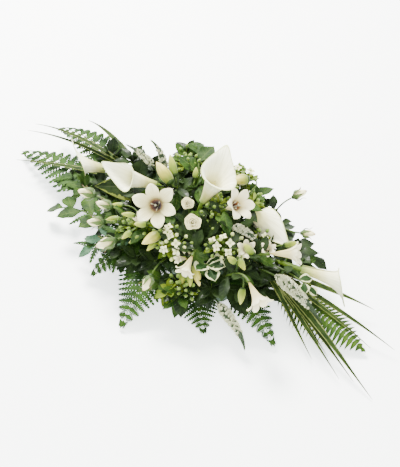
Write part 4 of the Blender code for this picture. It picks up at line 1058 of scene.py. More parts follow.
def veronica_spike(curve, start, girth, rng):
    """The florets, the green calyxes and tip buds, and the stamens of one spike."""
    count = int(curve_length(curve) * (1 - start) / FLORET_PITCH)
    florets = []
    buds = []
    hairs = []
    for i in range(count):
        share = (i + 0.5) / count
        t = start + (1 - start) * share
        tangent = tangent_at(curve, t)
        side = tangent.cross(UP).normalized()
        turn = i * GOLDEN_ANGLE
        out = side * math.cos(turn) + side.cross(tangent) * math.sin(turn)
        body = girth * min(1.0, 4 * share + 0.3) * (1 - share ** 2.2 * 0.85)
        way = (out + tangent * (0.25 + 0.9 * share)).normalized()
        root = curve(t) + out * body * 0.30
        size = body * 0.46 * rng.uniform(0.75, 1.2)
        matrix = stand(root, way, tangent)
        if share < OPEN_SHARE + rng.uniform(-0.08, 0.08) and rng.random() < FLORET_CHANCE:
            florets.append(floret_cup(matrix, size * 0.80, body * 0.82))
            if i % 2:
                tip = root + way * body * rng.uniform(0.95, 1.25)
                hairs.append(tube([root + way * body * 0.4, tip], HAIR, 3))
        else:
            buds.append(bead(matrix, body * 0.66, size * 0.66, 5, 3))
    return florets, buds, hairs


# %% Build the veronicas
rng = random.Random(11)
for name, face, tip, spike, girth, aim, foot, knee, fall, side_tip, side_aim in VERONICAS:
    root, curve = stem_curve(name, face, tip, aim, foot, knee and (knee, fall))
    start = 1 - spike / curve_length(curve)
    stalks = [stem(root, curve, FINE_STEM, 20, 0.98, 6)]
    florets, buds, hairs = veronica_spike(curve, start, girth, rng)
    if side_tip:
        fork = curve(start * 0.4)
        bend = side_tip - side_aim * (side_tip - fork).length * 0.45

        def side_curve(t):
            return bezier(fork, fork.lerp(bend, 0.5), bend, side_tip, t)

        stalks.append(tube(along(side_curve, 16, 0.98), TWIN_STEM, 6))
        twin = veronica_spike(side_curve, TWIN_START, girth, rng)
        for group, more in zip((florets, buds, hairs), twin):
            group += more
    for part, finish, shapes in (("_florets", "veronica_floret", florets),
                                 ("_calyxes", "veronica_green_bud", buds),
                                 ("_stamens", "stamen_cream", hairs),
                                 ("_stalk", "green_stem", stalks)):
        make_piece(name + part, "veronica_pale", finish, shapes, name)

# %% [markdown]
# ## Ferns
# A leatherleaf frond is cut twice: its leaflets are cut again into lobes. A sword fern is cut
# once, into narrow pointed leaflets. An image with see-through parts would be the quick way, but it
# gives the frond no thickness and no edges. Here each leatherleaf leaflet is a sheet whose grid
# loses the faces between its lobes, which leaves one leaflet with a wing along its midrib.

# %% Fern shapes
LOBE_PAIRS = 7
LOBE_REACH = (0.52, 0.80, 1.0)
LOBE_WIDTH = (0.50, 0.40, 0.15)
SWORD_OUTLINE = (0.7, 1.0, 0.80, 0.55, 0.28, 0.0)
TIP_OUTLINE = (0.5, 1.0, 0.6, 0.0)
TIP_WIDTH = 0.006
FROND_TIP = 0.93
FROND_TURN = 22
# Each kind's lean from the rib in degrees, its droop, and its width in spacings.
FROND_FORMS = {"sword": (62, 0.35, 0.95), "leather": (56, 0.12, 1.55)}
FERNS = table("""
name, face, tip mm, lift mm, start, longest mm, pairs, kind, foot mm
fern_left, left, -371 -17 10, 10, 0.36, 58, 10, leather, -16 30
fern_left_back, left, -349 52 30, 18, 0.38, 45, 9, leather, 28 32
fern_front_left, front, -75 -150 14, 22, 0.3, 45, 9, leather, -34 30
fern_front, front, 27 -192 6, 22, 0.3, 55, 10, leather, 4 30
fern_front_right, front, 128 -120 8, 2, 0.34, 42, 8, leather, 50 27
fern_low_right, right, 222 -70 8, 14, 0.22, 40, 9, leather, -34 32
fern_right, right, 328 8 8, 6, 0.3, 44, 22, sword, 6 30
""")


def lobed_sheet(curve, width, up):
    """A leaflet cut into pointed lobes that shrink towards its tip."""
    reach = len(LOBE_REACH)
    columns = 2 * reach + 1
    rows = 2 * LOBE_PAIRS
    frames = rib_frames(curve, 0.0, 1.0, rows + 1, up)
    spacing = (curve(1.0) - curve(0.0)).length / LOBE_PAIRS

    def is_gap(u, v):
        return int(v * rows) % 2 and abs(int(u * columns) - reach) > 1

    def place(u, v):
        column = round(u * columns)
        line = round(v * rows)
        hand = -1 if column <= reach else 1
        step = reach - column if column <= reach else column - reach - 1
        point, side, over, tangent = frames[line]
        if step == 0:
            return point + side * (hand * 0.0006 * (1 - 0.6 * v))
        index = min(line // 2, LOBE_PAIRS - 1)
        share = (index + 0.5) / LOBE_PAIRS
        out = width / 2 * (1.05 - share) ** 0.6 * LOBE_REACH[step - 1]
        way = (side * hand + tangent * 0.75).normalized()
        if step == 1:
            return point + way * out + over * (out * 0.10)
        middle, side, over, tangent = frames[2 * index]
        half = spacing * LOBE_WIDTH[step - 1] * (1 if line > 2 * index else -1)
        return middle + tangent * (spacing * 0.25 + half) + way * out - over * (out * 0.12)

    return thicken(surface(columns, rows, place, is_gap))


def sagging_rib(point, way, length, down, sag):
    """A rib that leaves point along way and sags down by a share of its length."""
    return lambda t: point + way * (length * t) - down * (sag * length * t * t)


def fern_leaflets(curve, start, pairs, longest, kind):
    """The leaflets of a frond, in pairs along its rib."""
    frames = rib_frames(curve, start, 1.0, 2 * pairs + 1)
    spacing = sum((frames[i + 1][0] - frames[i][0]).length for i in range(2 * pairs)) / pairs
    sweep, droop, width = FROND_FORMS[kind]
    leaflets = []
    for index in range(pairs):
        middle = (frames[2 * index][0] + frames[2 * index + 1][0]) / 2
        point, side, over, tangent = frames[2 * index]
        share = (index + 0.5) / pairs
        if kind == "sword":
            length = longest * min(1.0, 0.55 + 2.2 * share) * (1.03 - share ** 3)
        else:
            length = longest * (1.02 - share) ** 0.85
        lean = math.radians(sweep + FROND_TURN * share)
        for hand in (-1, 1):
            way = (side * hand * math.sin(lean) + tangent * math.cos(lean)).normalized()
            rib = sagging_rib(middle, way, length, over, droop)
            if kind == "sword":
                leaflets.append(blade(rib, spacing * width, SWORD_OUTLINE, over, 4, 9,
                                      fold=0.25, wave=0.10, waves=3.0))
            else:
                leaflets.append(lobed_sheet(rib, spacing * width, over))
    over = rib_frames(curve, FROND_TIP, 1.0, 2)[0][2]
    leaflets.append(blade(lambda t: curve(FROND_TIP + (1 - FROND_TIP) * t), TIP_WIDTH,
                          TIP_OUTLINE, over, 2, 6))
    return leaflets


# %% Build the ferns
for name, face, tip, lift, start, longest, pairs, kind, foot in FERNS:
    root, curve = arch(name, face, tip, lift, foot)
    slot, finish = (("leaf_green", "sword_fern_leaf") if kind == "sword"
                    else ("fern_green", "fern_leaf"))
    leaflets = fern_leaflets(curve, start, pairs, longest, kind)
    stalk = stem(root, curve, lambda t, a: FINE_STEM * (1 - 0.7 * t * t), 24, 0.97, 6)
    make_piece(name + "_leaflets", slot, finish, leaflets, name)
    make_piece(name + "_stalk", slot, "green_stem", [stalk], name)

# %% [markdown]
# ## Small florets and berries
# Between the large flowers stand branched sprays of white four-petalled stars, with round buds on
# fine stalks, and sprays that are all green berries. They are placed by the golden angle round
# their stem, with the same seeded spread as in the plain model.

# %% Floret and berry shapes
STAR_RADIUS = 0.0070
STAR_OUTLINE = (0.35, 0.85, 1.0, 0.62, 0.0)
BERRY_RADIUS = 0.0030
BERRY_FORM = (10, 8, 0.9, 0.18, 4)
EYE_LENGTH = 0.0045
EYE_RADIUS = 0.0014
STALK_TIP = 0.0009
FINE_STALK = 0.0007
CLUSTER_SPREAD = 0.8


def leaning(matrix, lean, turn):
    """A direction that leans away from a matrix's Z axis by lean, turned about it."""
    return matrix.to_3x3() @ polar(turn, math.sin(lean), math.cos(lean))


def star(end, way, radius, turn):
    """Four pointed petals round a small throat, turned by an angle about the stalk."""
    petals = []
    for i in range(4):
        out = upright(end, way).to_3x3() @ polar(turn + math.tau * i / 4, 1.0)

        def rib(t):
            return end + out * (radius * t) + way * (radius * (0.50 * t - 0.30 * t * t))

        petals.append(blade(rib, radius * 0.68, STAR_OUTLINE, way, 4, 7, 0.22))
    return petals


def floret_cluster(head, aim, stars, berries, spread, rng, reach=1.0):
    """The stalks, petals and round buds that spring from the last part of a stem."""
    total = stars + berries
    every = total // max(stars, 1)
    stalks = []
    petals = []
    buds = []
    for i in range(total):
        share = (i + 0.5) / total
        turn = i * GOLDEN_ANGLE
        way = leaning(upright(head, aim), spread * math.sqrt(share), turn)
        start = head - aim * (0.0006 + 0.016 * share * reach)
        end = start + way * (0.020 + 0.009 * rng.random()) * reach
        stalks.append(tube(along(lambda t: start.lerp(end, t), 5), FINE_STALK, 6))
        if stars and i % every == 0 and i // every < stars:
            petals += star(end, way, STAR_RADIUS, turn * 1.7)
            buds.append(bead(upright(end - way * 0.002, way), EYE_LENGTH, EYE_RADIUS, 8, 5))
        else:
            buds.append(bead(upright(end, way), BERRY_RADIUS * 2.7, BERRY_RADIUS, *BERRY_FORM))
    return stalks, petals, buds


print("stars of", STAR_RADIUS * 2000, "mm, berries of", BERRY_RADIUS * 2000, "mm")

# %% [markdown]
# ## Broad leaves
# The filling leaves are of four kinds: plain mid-green, dark and glossy, blue-green, and
# white-edged. They differ in outline and in finish. Each leaf is a sheet folded a little along its
# midrib, because a flat leaf catches the light all over at once and looks like paper.

# %% Leafy stems
BROAD_LEAF = (0.10, 0.66, 1.0, 0.74, 0.0)
TUFT_LEAF = (0.10, 0.86, 0.92, 0.0)
LONG_LEAF = (0.10, 0.88, 1.0, 0.60, 0.0)
LEAF_SAG = 0.18
SPRIG_STOP = 0.80
SPRIG_SHRINK = 0.25
# The leaves' splay in degrees, how far the stem dives, the leaves' upward side and outline.
SPRIG_SHAPE = (50, ARCH_DIVE, UP, BROAD_LEAF)
BACK_SHAPE = (58, 0.0, Vector((0.0, 0.9, 0.5)), TUFT_LEAF)
SPRIGS = table("""
name, face, tip mm, lift mm, leaves, length mm, width mm, finish, slot, foot mm, start
broad_leaves_left, front, -225 -96 20, 20, 5, 46, 28, broad_leaf, leaf_green, -82 32, 0.3
glaucous_leaves, front, -98 -142 40, 12, 5, 36, 22, blue_green_leaf, leaf_glaucous, -56 40, 0.3
dark_leaves_front, front, 90 -128 46, 6, 5, 45, 26, dark_glossy_leaf, leaf_dark, 26 40, 0.3
edged_leaves_right, right, 246 10 56, 10, 3, 21, 18, white_edged_leaf, leaf_green, 8 58, 0.68
edged_leaves_front, front, 102 -74 84, 4, 4, 34, 27, white_edged_leaf, leaf_green, 66 57, 0.48
back_leaves_low, back, -140 66 48, 4, 8, 52, 36, dark_glossy_leaf, leaf_dark, 64 38, 0.12
back_leaves_middle, top, -76 98 112, 4, 5, 48, 31, broad_leaf, leaf_green, -4 28, 0.16
back_leaves_right, back, 196 78 44, 4, 5, 40, 25, dark_glossy_leaf, leaf_dark, 78 42, 0.3
""")
SPRIG_CLUSTERS = table("""
sprig, share, head mm, aim, berries
back_leaves_middle, 0.5, -48 58 108, 0.2 -0.1 0.9, 4
back_leaves_middle, 0.25, 16 80 104, 0.2 0.2 0.9, 3
""")


def one_leaf(point, way, length, width, outline, up=UP, wave=0.10):
    """A single leaf that starts at point and sags towards its tip."""
    rib = sagging_rib(point, way.normalized(), length, UP, LEAF_SAG)
    return blade(rib, width, outline, up, 8, 16, fold=0.16, wave=wave, waves=2.0)


for name, face, tip, lift, count, length, width, finish, slot, foot, start in SPRIGS:
    splay, dive, up, outline = BACK_SHAPE if name == "back_leaves_low" else SPRIG_SHAPE
    root, curve = arch(name, face, tip, lift, foot, dive)
    leaves = []
    for i, (point, side, over, tangent) in enumerate(rib_frames(curve, start, SPRIG_STOP, count,
                                                                up)):
        hand = 1 if i % 2 else -1
        scale = 1 - SPRIG_SHRINK * i / count
        angle = math.radians(splay * scale)
        way = side * hand * math.sin(angle) + tangent * math.cos(angle) + over * 0.18
        if i == count - 1:
            way = tangent
        leaves.append(one_leaf(point, way, length * scale, width * scale, outline, up))
    make_piece(name + "_blades", slot, finish, leaves, name)
    stalks = [stem(root, curve, lambda t, a: FINE_STEM * (1 - 0.35 * t ** 3), 16, SPRIG_STOP)]
    berries = []
    for share, head, aim, number in rows_of(SPRIG_CLUSTERS, name):
        stalks.append(branch(curve, share, head, aim, STALK_TIP))
        fine, petals, buds = floret_cluster(head, aim, 0, number, CLUSTER_SPREAD,
                                            random.Random(number))
        stalks += fine
        berries += buds
    make_piece(name + "_stalk", slot, "green_stem", stalks, name)
    if berries:
        make_piece(name + "_berries", slot, "green_berry", berries, name)

# %% [markdown]
# ## Tufts that hide the foam
# Dark broad leaves spring from short stems and cover the foam. In the plain model each of their
# leaves was turned and tilted until it stood clear of its neighbours. The fine leaves must lie in
# the same places, so each tries the same turns and tilts and keeps the one whose tip is at a corner
# of the plain solid. A leaf that finds no such corner was left out there, and is left out here.

# %% Tufts
TUFT_LENGTH = 0.060
TUFT_WIDTH = 0.029
TUFT_STEM = 0.0020
TUFT_TILTS = (62, 86, 74)
TUFT_TRIES = [(swing, nod) for nod in (0, 14, -16, 28, -30) for swing in (0, 12, -12, 24, -24)]
TIP_MATCH = 0.0020
KNOB_LENGTH = 0.008
KNOB_RADIUS = 0.0034
KNOB_FORM = (10, 6, 1.0)
LONG_TIP = Vector((-0.154, -0.056, 0.088))
LONG_WIDTH = 0.040
LONG_LEAF_UP = Vector((0.30, -0.60, 0.74))
TUFTS = table("""
name, face, head mm, aim, leaves, foot mm
tuft_top_left, top, -72 0 84, -0.4 0.2 0.9, 8, -56 -6
tuft_top_middle, top, 48 -34 82, 0.2 -0.6 0.8, 7, 42 -26
tuft_top_right, top, 80 14 84, 0.3 0.3 0.9, 8, 74 10
tuft_front_left, front, -44 -66 48, -0.2 -0.9 0.4, 8, -22 42
tuft_left, left, -126 10 54, -0.9 0 0.4, 7, 16 56
tuft_front_right, right, 116 -54 60, 0.6 -0.6 0.5, 8, -34 52
""")


def corners_of(node):
    """A search tree of a plain solid's corners."""
    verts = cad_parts[node].data.vertices
    tree = KDTree(len(verts))
    for i, vert in enumerate(verts):
        tree.insert(vert.co, i)
    tree.balance()
    return tree


def tuft_ways(name, head, aim, leaves, turn):
    """The direction of every leaf that the plain tuft has."""
    tree = corners_of(name)
    matrix = stand(head, aim, UP if abs(aim.z) < 0.8 else Vector((1, 0, 0)))
    ways = []
    for i in range(leaves):
        found = []
        for swing, nod in TUFT_TRIES:
            lean = math.radians(TUFT_TILTS[i % len(TUFT_TILTS)] + nod)
            way = leaning(matrix, lean, math.radians(turn + 360 * i / leaves + swing))
            tip = head + way * TUFT_LENGTH - UP * (LEAF_SAG * TUFT_LENGTH)
            found.append((tree.find(tip)[2], way))
        distance, way = min(found, key=lambda item: item[0])
        if distance < TIP_MATCH:
            ways.append(way)
    return ways


for i, (name, face, head, aim, leaves, foot) in enumerate(TUFTS):
    root, curve = stem_curve(name, face, head, aim, foot)
    ways = tuft_ways(name, head, aim, leaves, 20 * i)
    shapes = [one_leaf(head, way, TUFT_LENGTH, TUFT_WIDTH, TUFT_LEAF) for way in ways]
    make_piece(name + "_blades", "leaf_dark", "dark_glossy_leaf", shapes, name)
    if i == 0:
        way = LONG_TIP - head
        way.z += LEAF_SAG * way.length
        long_leaf = one_leaf(head, way, way.length, LONG_WIDTH, LONG_LEAF, LONG_LEAF_UP, 0.05)
        make_piece("long_folded_leaf", "leaf_dark", "folded_striped_leaf", [long_leaf], name)
    knob = bead(upright(head - aim * KNOB_LENGTH / 2, aim), KNOB_LENGTH, KNOB_RADIUS, *KNOB_FORM)
    make_piece(name + "_stalk", "leaf_dark", "green_stem", [stem(root, curve, TUFT_STEM), knob],
               name)

# %% [markdown]
# ## Grass
# Long narrow leaves shoot out past both ends. Each is a strap, folded into a shallow V that keeps
# it stiff, with pale margins. A curve with a bevel would be quicker, but has no fold to catch
# light.

# %% Grass
BLADE_STUB = 0.0022
STUB_LENGTH = 0.008
STRAP_STEPS = 44
STRAP_FOLD = 0.30
GRASSES = table("""
name, face, foot mm
grass_right, right, 18 50
grass_beside, right, 18 50
grass_left, left, 34 48
""")
GRASS_TIPS = table("""
grass, tip mm, lift mm, width mm
grass_right, 383 -53 4, 14, 10.5
grass_right, 311 -23 12, 16, 10
grass_right, 278 -55 10, 12, 8
grass_right, 359 35 13, 7, 9.2
grass_right, 295 74 20, 0, 12
grass_beside, 345 -46 6, 15, 9
grass_beside, 328 -58 10, 10, 8
grass_beside, 292 -36 10, 20, 8.4
grass_beside, 262 -46 12, 22, 8
grass_beside, 330 16 12, 11, 7.8
grass_left, -299 75 60, 26, 10
grass_left, -369 18 50, 26, 7.6
grass_left, -381 10 34, 24, 7
grass_left, -344 -52 30, -2, 9
""")


def strap(curve, width):
    """A long strap leaf, narrow at its root and drawn to a point."""
    frames = rib_frames(curve, 0.0, 1.0, STRAP_STEPS + 1)

    def place(u, v):
        point, side, over, tangent = frames[round(v * STRAP_STEPS)]
        hand = 2 * u - 1
        half = width / 2 * (0.45 + 0.55 * math.sin(math.pi * min(v * 1.1, 1.0))) * (1 - v ** 5)
        if v >= 1:
            half = 0.0
        return point + side * (hand * half) + over * (abs(hand) * half * STRAP_FOLD)

    return thicken(surface(4, STRAP_STEPS, place))


for name, face, foot in GRASSES:
    tips = rows_of(GRASS_TIPS, name)
    root, curve = stem_curve(name, face, sum((row[0] for row in tips), Vector()) / len(tips), UP,
                             foot)
    base = curve(0.0)
    way = (base - root).normalized()
    start = base + way * STUB_LENGTH / 2
    straps = []
    for tip, lift, width in tips:
        span = (tip - base).length
        level = Vector((tip.x - base.x, tip.y - base.y, 0)).normalized()
        out = (way + (tip - start).normalized()).normalized()
        knee = start + out * span * 0.30 + UP * lift
        fall = tip - (level - UP * 0.25) * span * 0.35 + UP * lift * 0.5
        straps.append(strap(lambda t: bezier(start, knee, fall, tip, t), width))
    plain = [name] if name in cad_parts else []
    make_piece(name + "_straps", "grass_green", "grass_leaf", straps, *plain)
    stub = tube([root, base, base + way * STUB_LENGTH], BLADE_STUB)
    make_piece(name + "_stub", "grass_green", "green_stem", [stub], *plain)

# %% [markdown]
# ## Sprays of florets
# Three sprays have a stem of their own in the foam. They are built first, and kept apart from the
# filling that follows, because each stands for a plain solid.

# %% Floret sprays
FLORET_SPRAYS = table("""
name, face, head mm, aim, stars, berries, spread, seed, foot mm
florets_front, top, 40 -80 106, 0.3 -0.65 0.7, 4, 6, 0.9, 3, -
florets_right, top, 98 -34 106, 0.35 -0.45 0.79, 4, 6, 0.9, 5, 56 -22
berries_middle, top, 38 0 106, 0.2 -0.2 0.9, 0, 8, 0.7, 7, 30 -6
""")
for name, face, head, aim, stars, berries, spread, seed, foot in FLORET_SPRAYS:
    root, curve = stem_curve(name, face, head, aim, foot)
    stalks, petals, buds = floret_cluster(head, aim, stars, berries, spread, random.Random(seed))
    slot, finish = (("floret_pale", "pale_floret_bud") if stars
                    else ("berry_green", "green_berry"))
    if petals:
        make_piece(name + "_stars", "floret_pale", "star_floret_petal", petals, name)
    make_piece(name + "_round_buds", slot, finish, buds, name)
    make_piece(name + "_stalks", slot, "green_stem", [stem(root, curve, FINE_STEM)] + stalks, name)

# %% [markdown]
# ## Filling
# A florist leaves no gap. The stems carry small leaves of their own, and sprays of berries, buds
# and stars fork from them between the large flowers. Scattering copies over a hidden dome would
# fill the space too, but nothing would hold them up. Here each spray starts on the curve of a stem
# that is already there.

# %% Leaves along the stems
LEAFY_STEMS = table("""
stem, start, end, leaves
calla_centre, 0.25, 0.9, 9
calla_left, 0.3, 0.95, 8
calla_right, 0.25, 0.85, 9
freesia_crown, 0.3, 0.9, 8
freesia_big, 0.25, 0.85, 6
berries_middle, 0.2, 0.8, 7
florets_right, 0.2, 0.8, 7
florets_front, 0.3, 0.9, 7
rose_open, 0.2, 0.9, 6
freesia_back_buds, 0.3, 1, 8
veronica_middle, 0.15, 0.6, 7
freesia_right, 0.3, 0.85, 7
freesia_low, 0.3, 0.8, 6
freesia_front, 0.3, 0.8, 6
freesia_side_buds, 0.3, 0.9, 6
rose_buds_left, 0.3, 0.9, 6
rose_buds_back, 0.3, 0.9, 7
calla_low_right, 0.35, 0.8, 6
calla_far_left, 0.35, 0.9, 8
""")
FERNY_STEMS = table("""
stem, start, end, leaflets
fern_left, 0.02, 0.46, 15
fern_left_back, 0.05, 0.46, 12
fern_front_left, 0, 0.6, 20
fern_front, 0, 0.4, 11
fern_front_right, 0, 0.4, 9
glaucous_leaves, 0.1, 0.8, 8
tuft_front_left, 0.3, 1, 8
tuft_left, 0.2, 1, 7
tuft_front_right, 0.3, 1, 7
rose_buds_left, 0.3, 0.8, 6
broad_leaves_left, 0.1, 0.5, 6
fern_right, 0.05, 0.28, 6
""")
LEAF_FLOOR = 0.022
LEAFLET_FLOOR = 0.010
LEAFLET_WIDTH = 0.019
LEAFLET_SAG = 0.3
TILTED_UP = Vector((0.31, 0.2, 0.93))
rng = random.Random(29)
dark = []
green = []
for name, start, end, count in LEAFY_STEMS:
    frames = rib_frames(stems[name], start, end, count, TILTED_UP)
    for i, (point, side, over, tangent) in enumerate(frames):
        turn = i * GOLDEN_ANGLE + 2.0 * start
        out = side * math.cos(turn) + over * math.sin(turn)
        way = out + tangent * rng.uniform(0.1, 0.6) + UP * rng.uniform(-0.1, 0.4)
        length = rng.uniform(0.028, 0.042)
        if (point + way.normalized() * length).z > LEAF_FLOOR:
            leaf = one_leaf(point, way, length, length * rng.uniform(0.36, 0.50), BROAD_LEAF)
            (green if i % 3 == 1 else dark).append(leaf)
ferny = []
for name, start, end, count in FERNY_STEMS:
    frames = rib_frames(stems[name], start, end, count)
    for i, (point, side, over, tangent) in enumerate(frames):
        hand = 1 if i % 2 else -1
        way = side * hand * rng.uniform(0.6, 1.1) + tangent * 0.6 + UP * rng.uniform(-0.05, 0.55)
        rib = sagging_rib(point, way.normalized(), rng.uniform(0.034, 0.048), UP, LEAFLET_SAG)
        if rib(1.0).z > LEAFLET_FLOOR:
            ferny.append(lobed_sheet(rib, LEAFLET_WIDTH, UP))
make_piece("stem_leaflets_ferny", "fern_green", "fern_leaf", ferny)
make_piece("stem_leaves_dark", "leaf_dark", "dark_glossy_leaf", dark)
make_piece("stem_leaves_green", "leaf_green", "broad_leaf", green)

# %% Whorls of leaves that fork from the stems
WHORL_FLOOR = 0.014
WHORL_STEP = 0.0008
WHORL_LEAN = 30
WHORL_OPEN = 50
WHORLS = table("""
stem, share, head mm, aim, leaves, length mm, kind
calla_right, 0.55, 13 60 84, -0.2 0.3 0.9, 7, 38, dark
calla_right, 0.45, 2 46 84, -0.3 0 0.9, 6, 34, young
calla_right, 0.65, 28 52 90, 0 0 1, 6, 32, dark
rose_buds_back, 0.5, -5 94 86, -0.2 0.4 0.9, 7, 36, dark
rose_buds_back, 0.65, 18 96 92, 0 0.3 0.9, 6, 32, young
rose_buds_back, 0.8, 52 92 88, 0.2 0.3 0.9, 6, 34, green
back_leaves_middle, 0.45, -40 100 96, 0 0.2 1, 6, 32, young
back_leaves_middle, 0.55, -62 96 98, -0.3 0.3 0.9, 5, 30, young
back_leaves_middle, 0.35, -50 80 88, 0 0 1, 7, 36, dark
calla_far_left, 0.7, -184 -16 42, -0.6 -0.5 0.5, 7, 38, dark
calla_far_left, 0.45, -150 -28 48, -0.4 -0.6 0.5, 7, 36, dark
fern_left, 0.35, -196 -38 46, -0.6 -0.5 0.6, 6, 36, green
fern_left, 0.5, -234 -24 30, -0.8 -0.3 0.6, 6, 34, dark
fern_left_back, 0.4, -205 34 62, -0.7 0.2 0.7, 7, 36, dark
fern_left_back, 0.25, -160 38 74, -0.4 0.3 0.9, 6, 36, dark
tuft_front_left, 0.95, -19 -104 56, -0.1 -0.8 0.5, 7, 36, dark
tuft_front_left, 0.8, -52 -104 52, -0.5 -0.8 0.4, 7, 36, dark
tuft_front_left, 0.7, 8 -94 60, 0.1 -0.8 0.5, 6, 34, dark
dark_leaves_front, 0.5, 41 -110 52, 0 -0.9 0.4, 6, 34, green
dark_leaves_front, 0.75, 78 -116 50, 0.2 -0.8 0.4, 6, 34, green
dark_leaves_front, 0.6, 62 -122 56, 0.1 -0.8 0.6, 8, 24, young
edged_leaves_front, 0.7, 108 -80 62, 0.4 -0.8 0.5, 6, 34, dark
freesia_low, 0.6, 128 -36 80, 0.4 -0.6 0.7, 6, 34, dark
freesia_low, 0.5, 146 -44 58, 0.7 -0.5 0.5, 7, 36, dark
calla_low_right, 0.6, 156 58 56, 0.5 0.5 0.7, 7, 36, dark
calla_low_right, 0.75, 176 52 46, 0.8 0.4 0.4, 6, 34, green
back_leaves_middle, 0.5, -78 78 100, -0.2 0.2 1, 6, 34, green
back_leaves_middle, 0.3, -66 58 92, -0.2 0 1, 6, 34, dark
back_leaves_middle, 0.65, -90 92 98, -0.5 0.3 0.9, 5, 30, dark
back_leaves_middle, 0.4, -56 40 96, -0.1 -0.1 1, 6, 32, dark
calla_centre, 0.45, -28 36 98, -0.3 0 0.9, 6, 30, green
calla_right, 0.6, 88 10 92, 0.5 -0.1 0.8, 6, 32, dark
calla_low_right, 0.4, 142 0 66, 0.6 -0.2 0.7, 6, 32, dark
back_leaves_low, 0.2, 14 88 66, 0 0.9 0.4, 7, 36, dark
back_leaves_low, 0.35, -36 90 64, -0.2 0.9 0.4, 7, 36, dark
back_leaves_low, 0.6, -86 84 66, -0.4 0.8 0.5, 7, 36, dark
rose_buds_back, 0.4, 60 84 70, 0.2 0.9 0.4, 7, 36, dark
back_leaves_right, 0.3, 100 80 60, 0.4 0.8 0.5, 7, 36, dark
berries_middle, 0.6, 54 -4 98, 0.5 -0.3 0.8, 6, 30, dark
florets_right, 0.7, 88 -26 96, 0.3 -0.3 0.9, 6, 28, young
florets_front, 0.75, 30 -80 92, 0 -0.6 0.8, 6, 28, young
back_leaves_middle, 0.3, -54 56 84, -0.1 -0.2 1, 6, 32, dark
calla_left, 0.45, -66 18 82, -0.3 -0.3 0.9, 6, 34, dark
calla_centre, 0.4, -28 54 84, -0.2 -0.1 0.9, 6, 32, dark
calla_centre, 0.5, -12 16 94, -0.1 -0.3 0.9, 6, 28, dark
calla_left, 0.6, -114 40 76, -0.5 0 0.8, 6, 34, dark
rose_buds_left, 0.6, -88 -36 66, -0.5 -0.4 0.7, 6, 32, dark
calla_right, 0.5, 78 46 78, 0.4 0 0.9, 6, 32, dark
calla_low_right, 0.55, 134 42 66, 0.5 0.1 0.8, 6, 34, dark
calla_low_right, 0.65, 152 26 54, 0.7 -0.1 0.6, 6, 32, green
calla_low_right, 0.45, 140 -6 52, 0.6 -0.4 0.6, 6, 34, dark
freesia_low, 0.45, 154 -22 42, 0.8 -0.4 0.5, 6, 34, dark
rose_buds_left, 0.75, -126 -36 56, -0.7 -0.3 0.6, 6, 34, dark
rose_buds_left, 0.7, -106 -60 56, -0.6 -0.5 0.6, 6, 32, green
rose_buds_left, 0.55, -108 -76 46, -0.6 -0.6 0.5, 6, 32, dark
""")
rng = random.Random(17)
kinds = {"dark": [], "green": [], "young": []}
stalks = []
for name, share, head, aim, count, length, kind in WHORLS:
    stalks.append(branch(stems[name], share, head, aim, STALK_TIP, 7))
    for i in range(count):
        lean = math.radians(WHORL_LEAN + WHORL_OPEN * (i + 0.5) / count)
        way = leaning(upright(head, aim), lean, i * GOLDEN_ANGLE)
        reach = length * rng.uniform(0.8, 1.1)
        if (head + way * reach).z > WHORL_FLOOR:
            kinds[kind].append(one_leaf(head - aim * WHORL_STEP * i, way, reach,
                                        reach * rng.uniform(0.42, 0.56), BROAD_LEAF))
for kind, slot, finish in (("dark", "leaf_dark", "dark_glossy_leaf"),
                           ("green", "leaf_green", "broad_leaf"),
                           ("young", "leaf_green", "young_leaf")):
    make_piece("whorl_leaves_" + kind, slot, finish, kinds[kind])
make_piece("whorl_stalks", "leaf_green", "green_stem", stalks)

# %% Sprays that fork from the stems
SPRAY_DROP = 0.014
SPRAY_SPREAD = 0.95
SPRAY_REACH = 0.7
SPRAY_LEAF = (0.022, 0.010)
SIDE_SPRAYS = table("""
stem, share, place mm, aim, stars, berries
back_leaves_middle, 0.5, -58 72 112, 0 -0.2 1, 0, 12
rose_buds_back, 0.6, 8 95 118, -0.1 -0.1 1, 2, 10
rose_buds_back, 0.75, 28 98 118, 0.1 0.1 1, 3, 6
berries_middle, 0.8, 23 22 112, 0.2 -0.3 0.9, 0, 12
berries_middle, 0.6, 45 9 110, 0.4 -0.3 0.9, 0, 12
florets_front, 0.7, 12 -71 104, 0.1 -0.6 0.8, 3, 8
florets_front, 0.85, 50 -78 100, 0.3 -0.7 0.7, 2, 9
florets_right, 0.6, 68 -10 108, 0.4 -0.3 0.9, 3, 7
dark_leaves_front, 0.6, 83 -111 62, 0.3 -0.6 0.7, 0, 14
dark_leaves_front, 0.5, 67 -111 66, 0.1 -0.6 0.7, 0, 12
freesia_side_buds, 0.7, -48 -89 98, -0.4 -0.5 0.8, 0, 9
freesia_side_buds, 0.6, -24 -82 100, -0.2 -0.5 0.8, 0, 8
calla_right, 0.6, 67 72 112, 0.3 0.3 0.9, 0, 9
veronica_middle, 0.55, 118 24 96, 0.5 0 0.9, 2, 7
back_leaves_middle, 0.7, -20 104 104, 0 0.3 0.9, 0, 9
berries_middle, 0.9, 36 20 118, 0.3 -0.4 0.9, 0, 13
berries_middle, 0.75, 52 -8 110, 0.5 -0.4 0.8, 0, 12
florets_front, 0.6, 26 -88 94, 0.1 -0.7 0.6, 2, 10
florets_right, 0.8, 84 -44 104, 0.3 -0.5 0.8, 2, 10
freesia_low, 0.55, 118 -30 94, 0.4 -0.5 0.8, 1, 9
rose_buds_left, 0.85, -62 -92 94, -0.5 -0.6 0.7, 0, 8
back_leaves_middle, 0.45, -72 60 112, -0.2 -0.1 1, 2, 9
back_leaves_middle, 0.6, -86 80 110, -0.3 0.2 1, 0, 9
""")
stalks = []
petals = []
buds = []
leaves = []
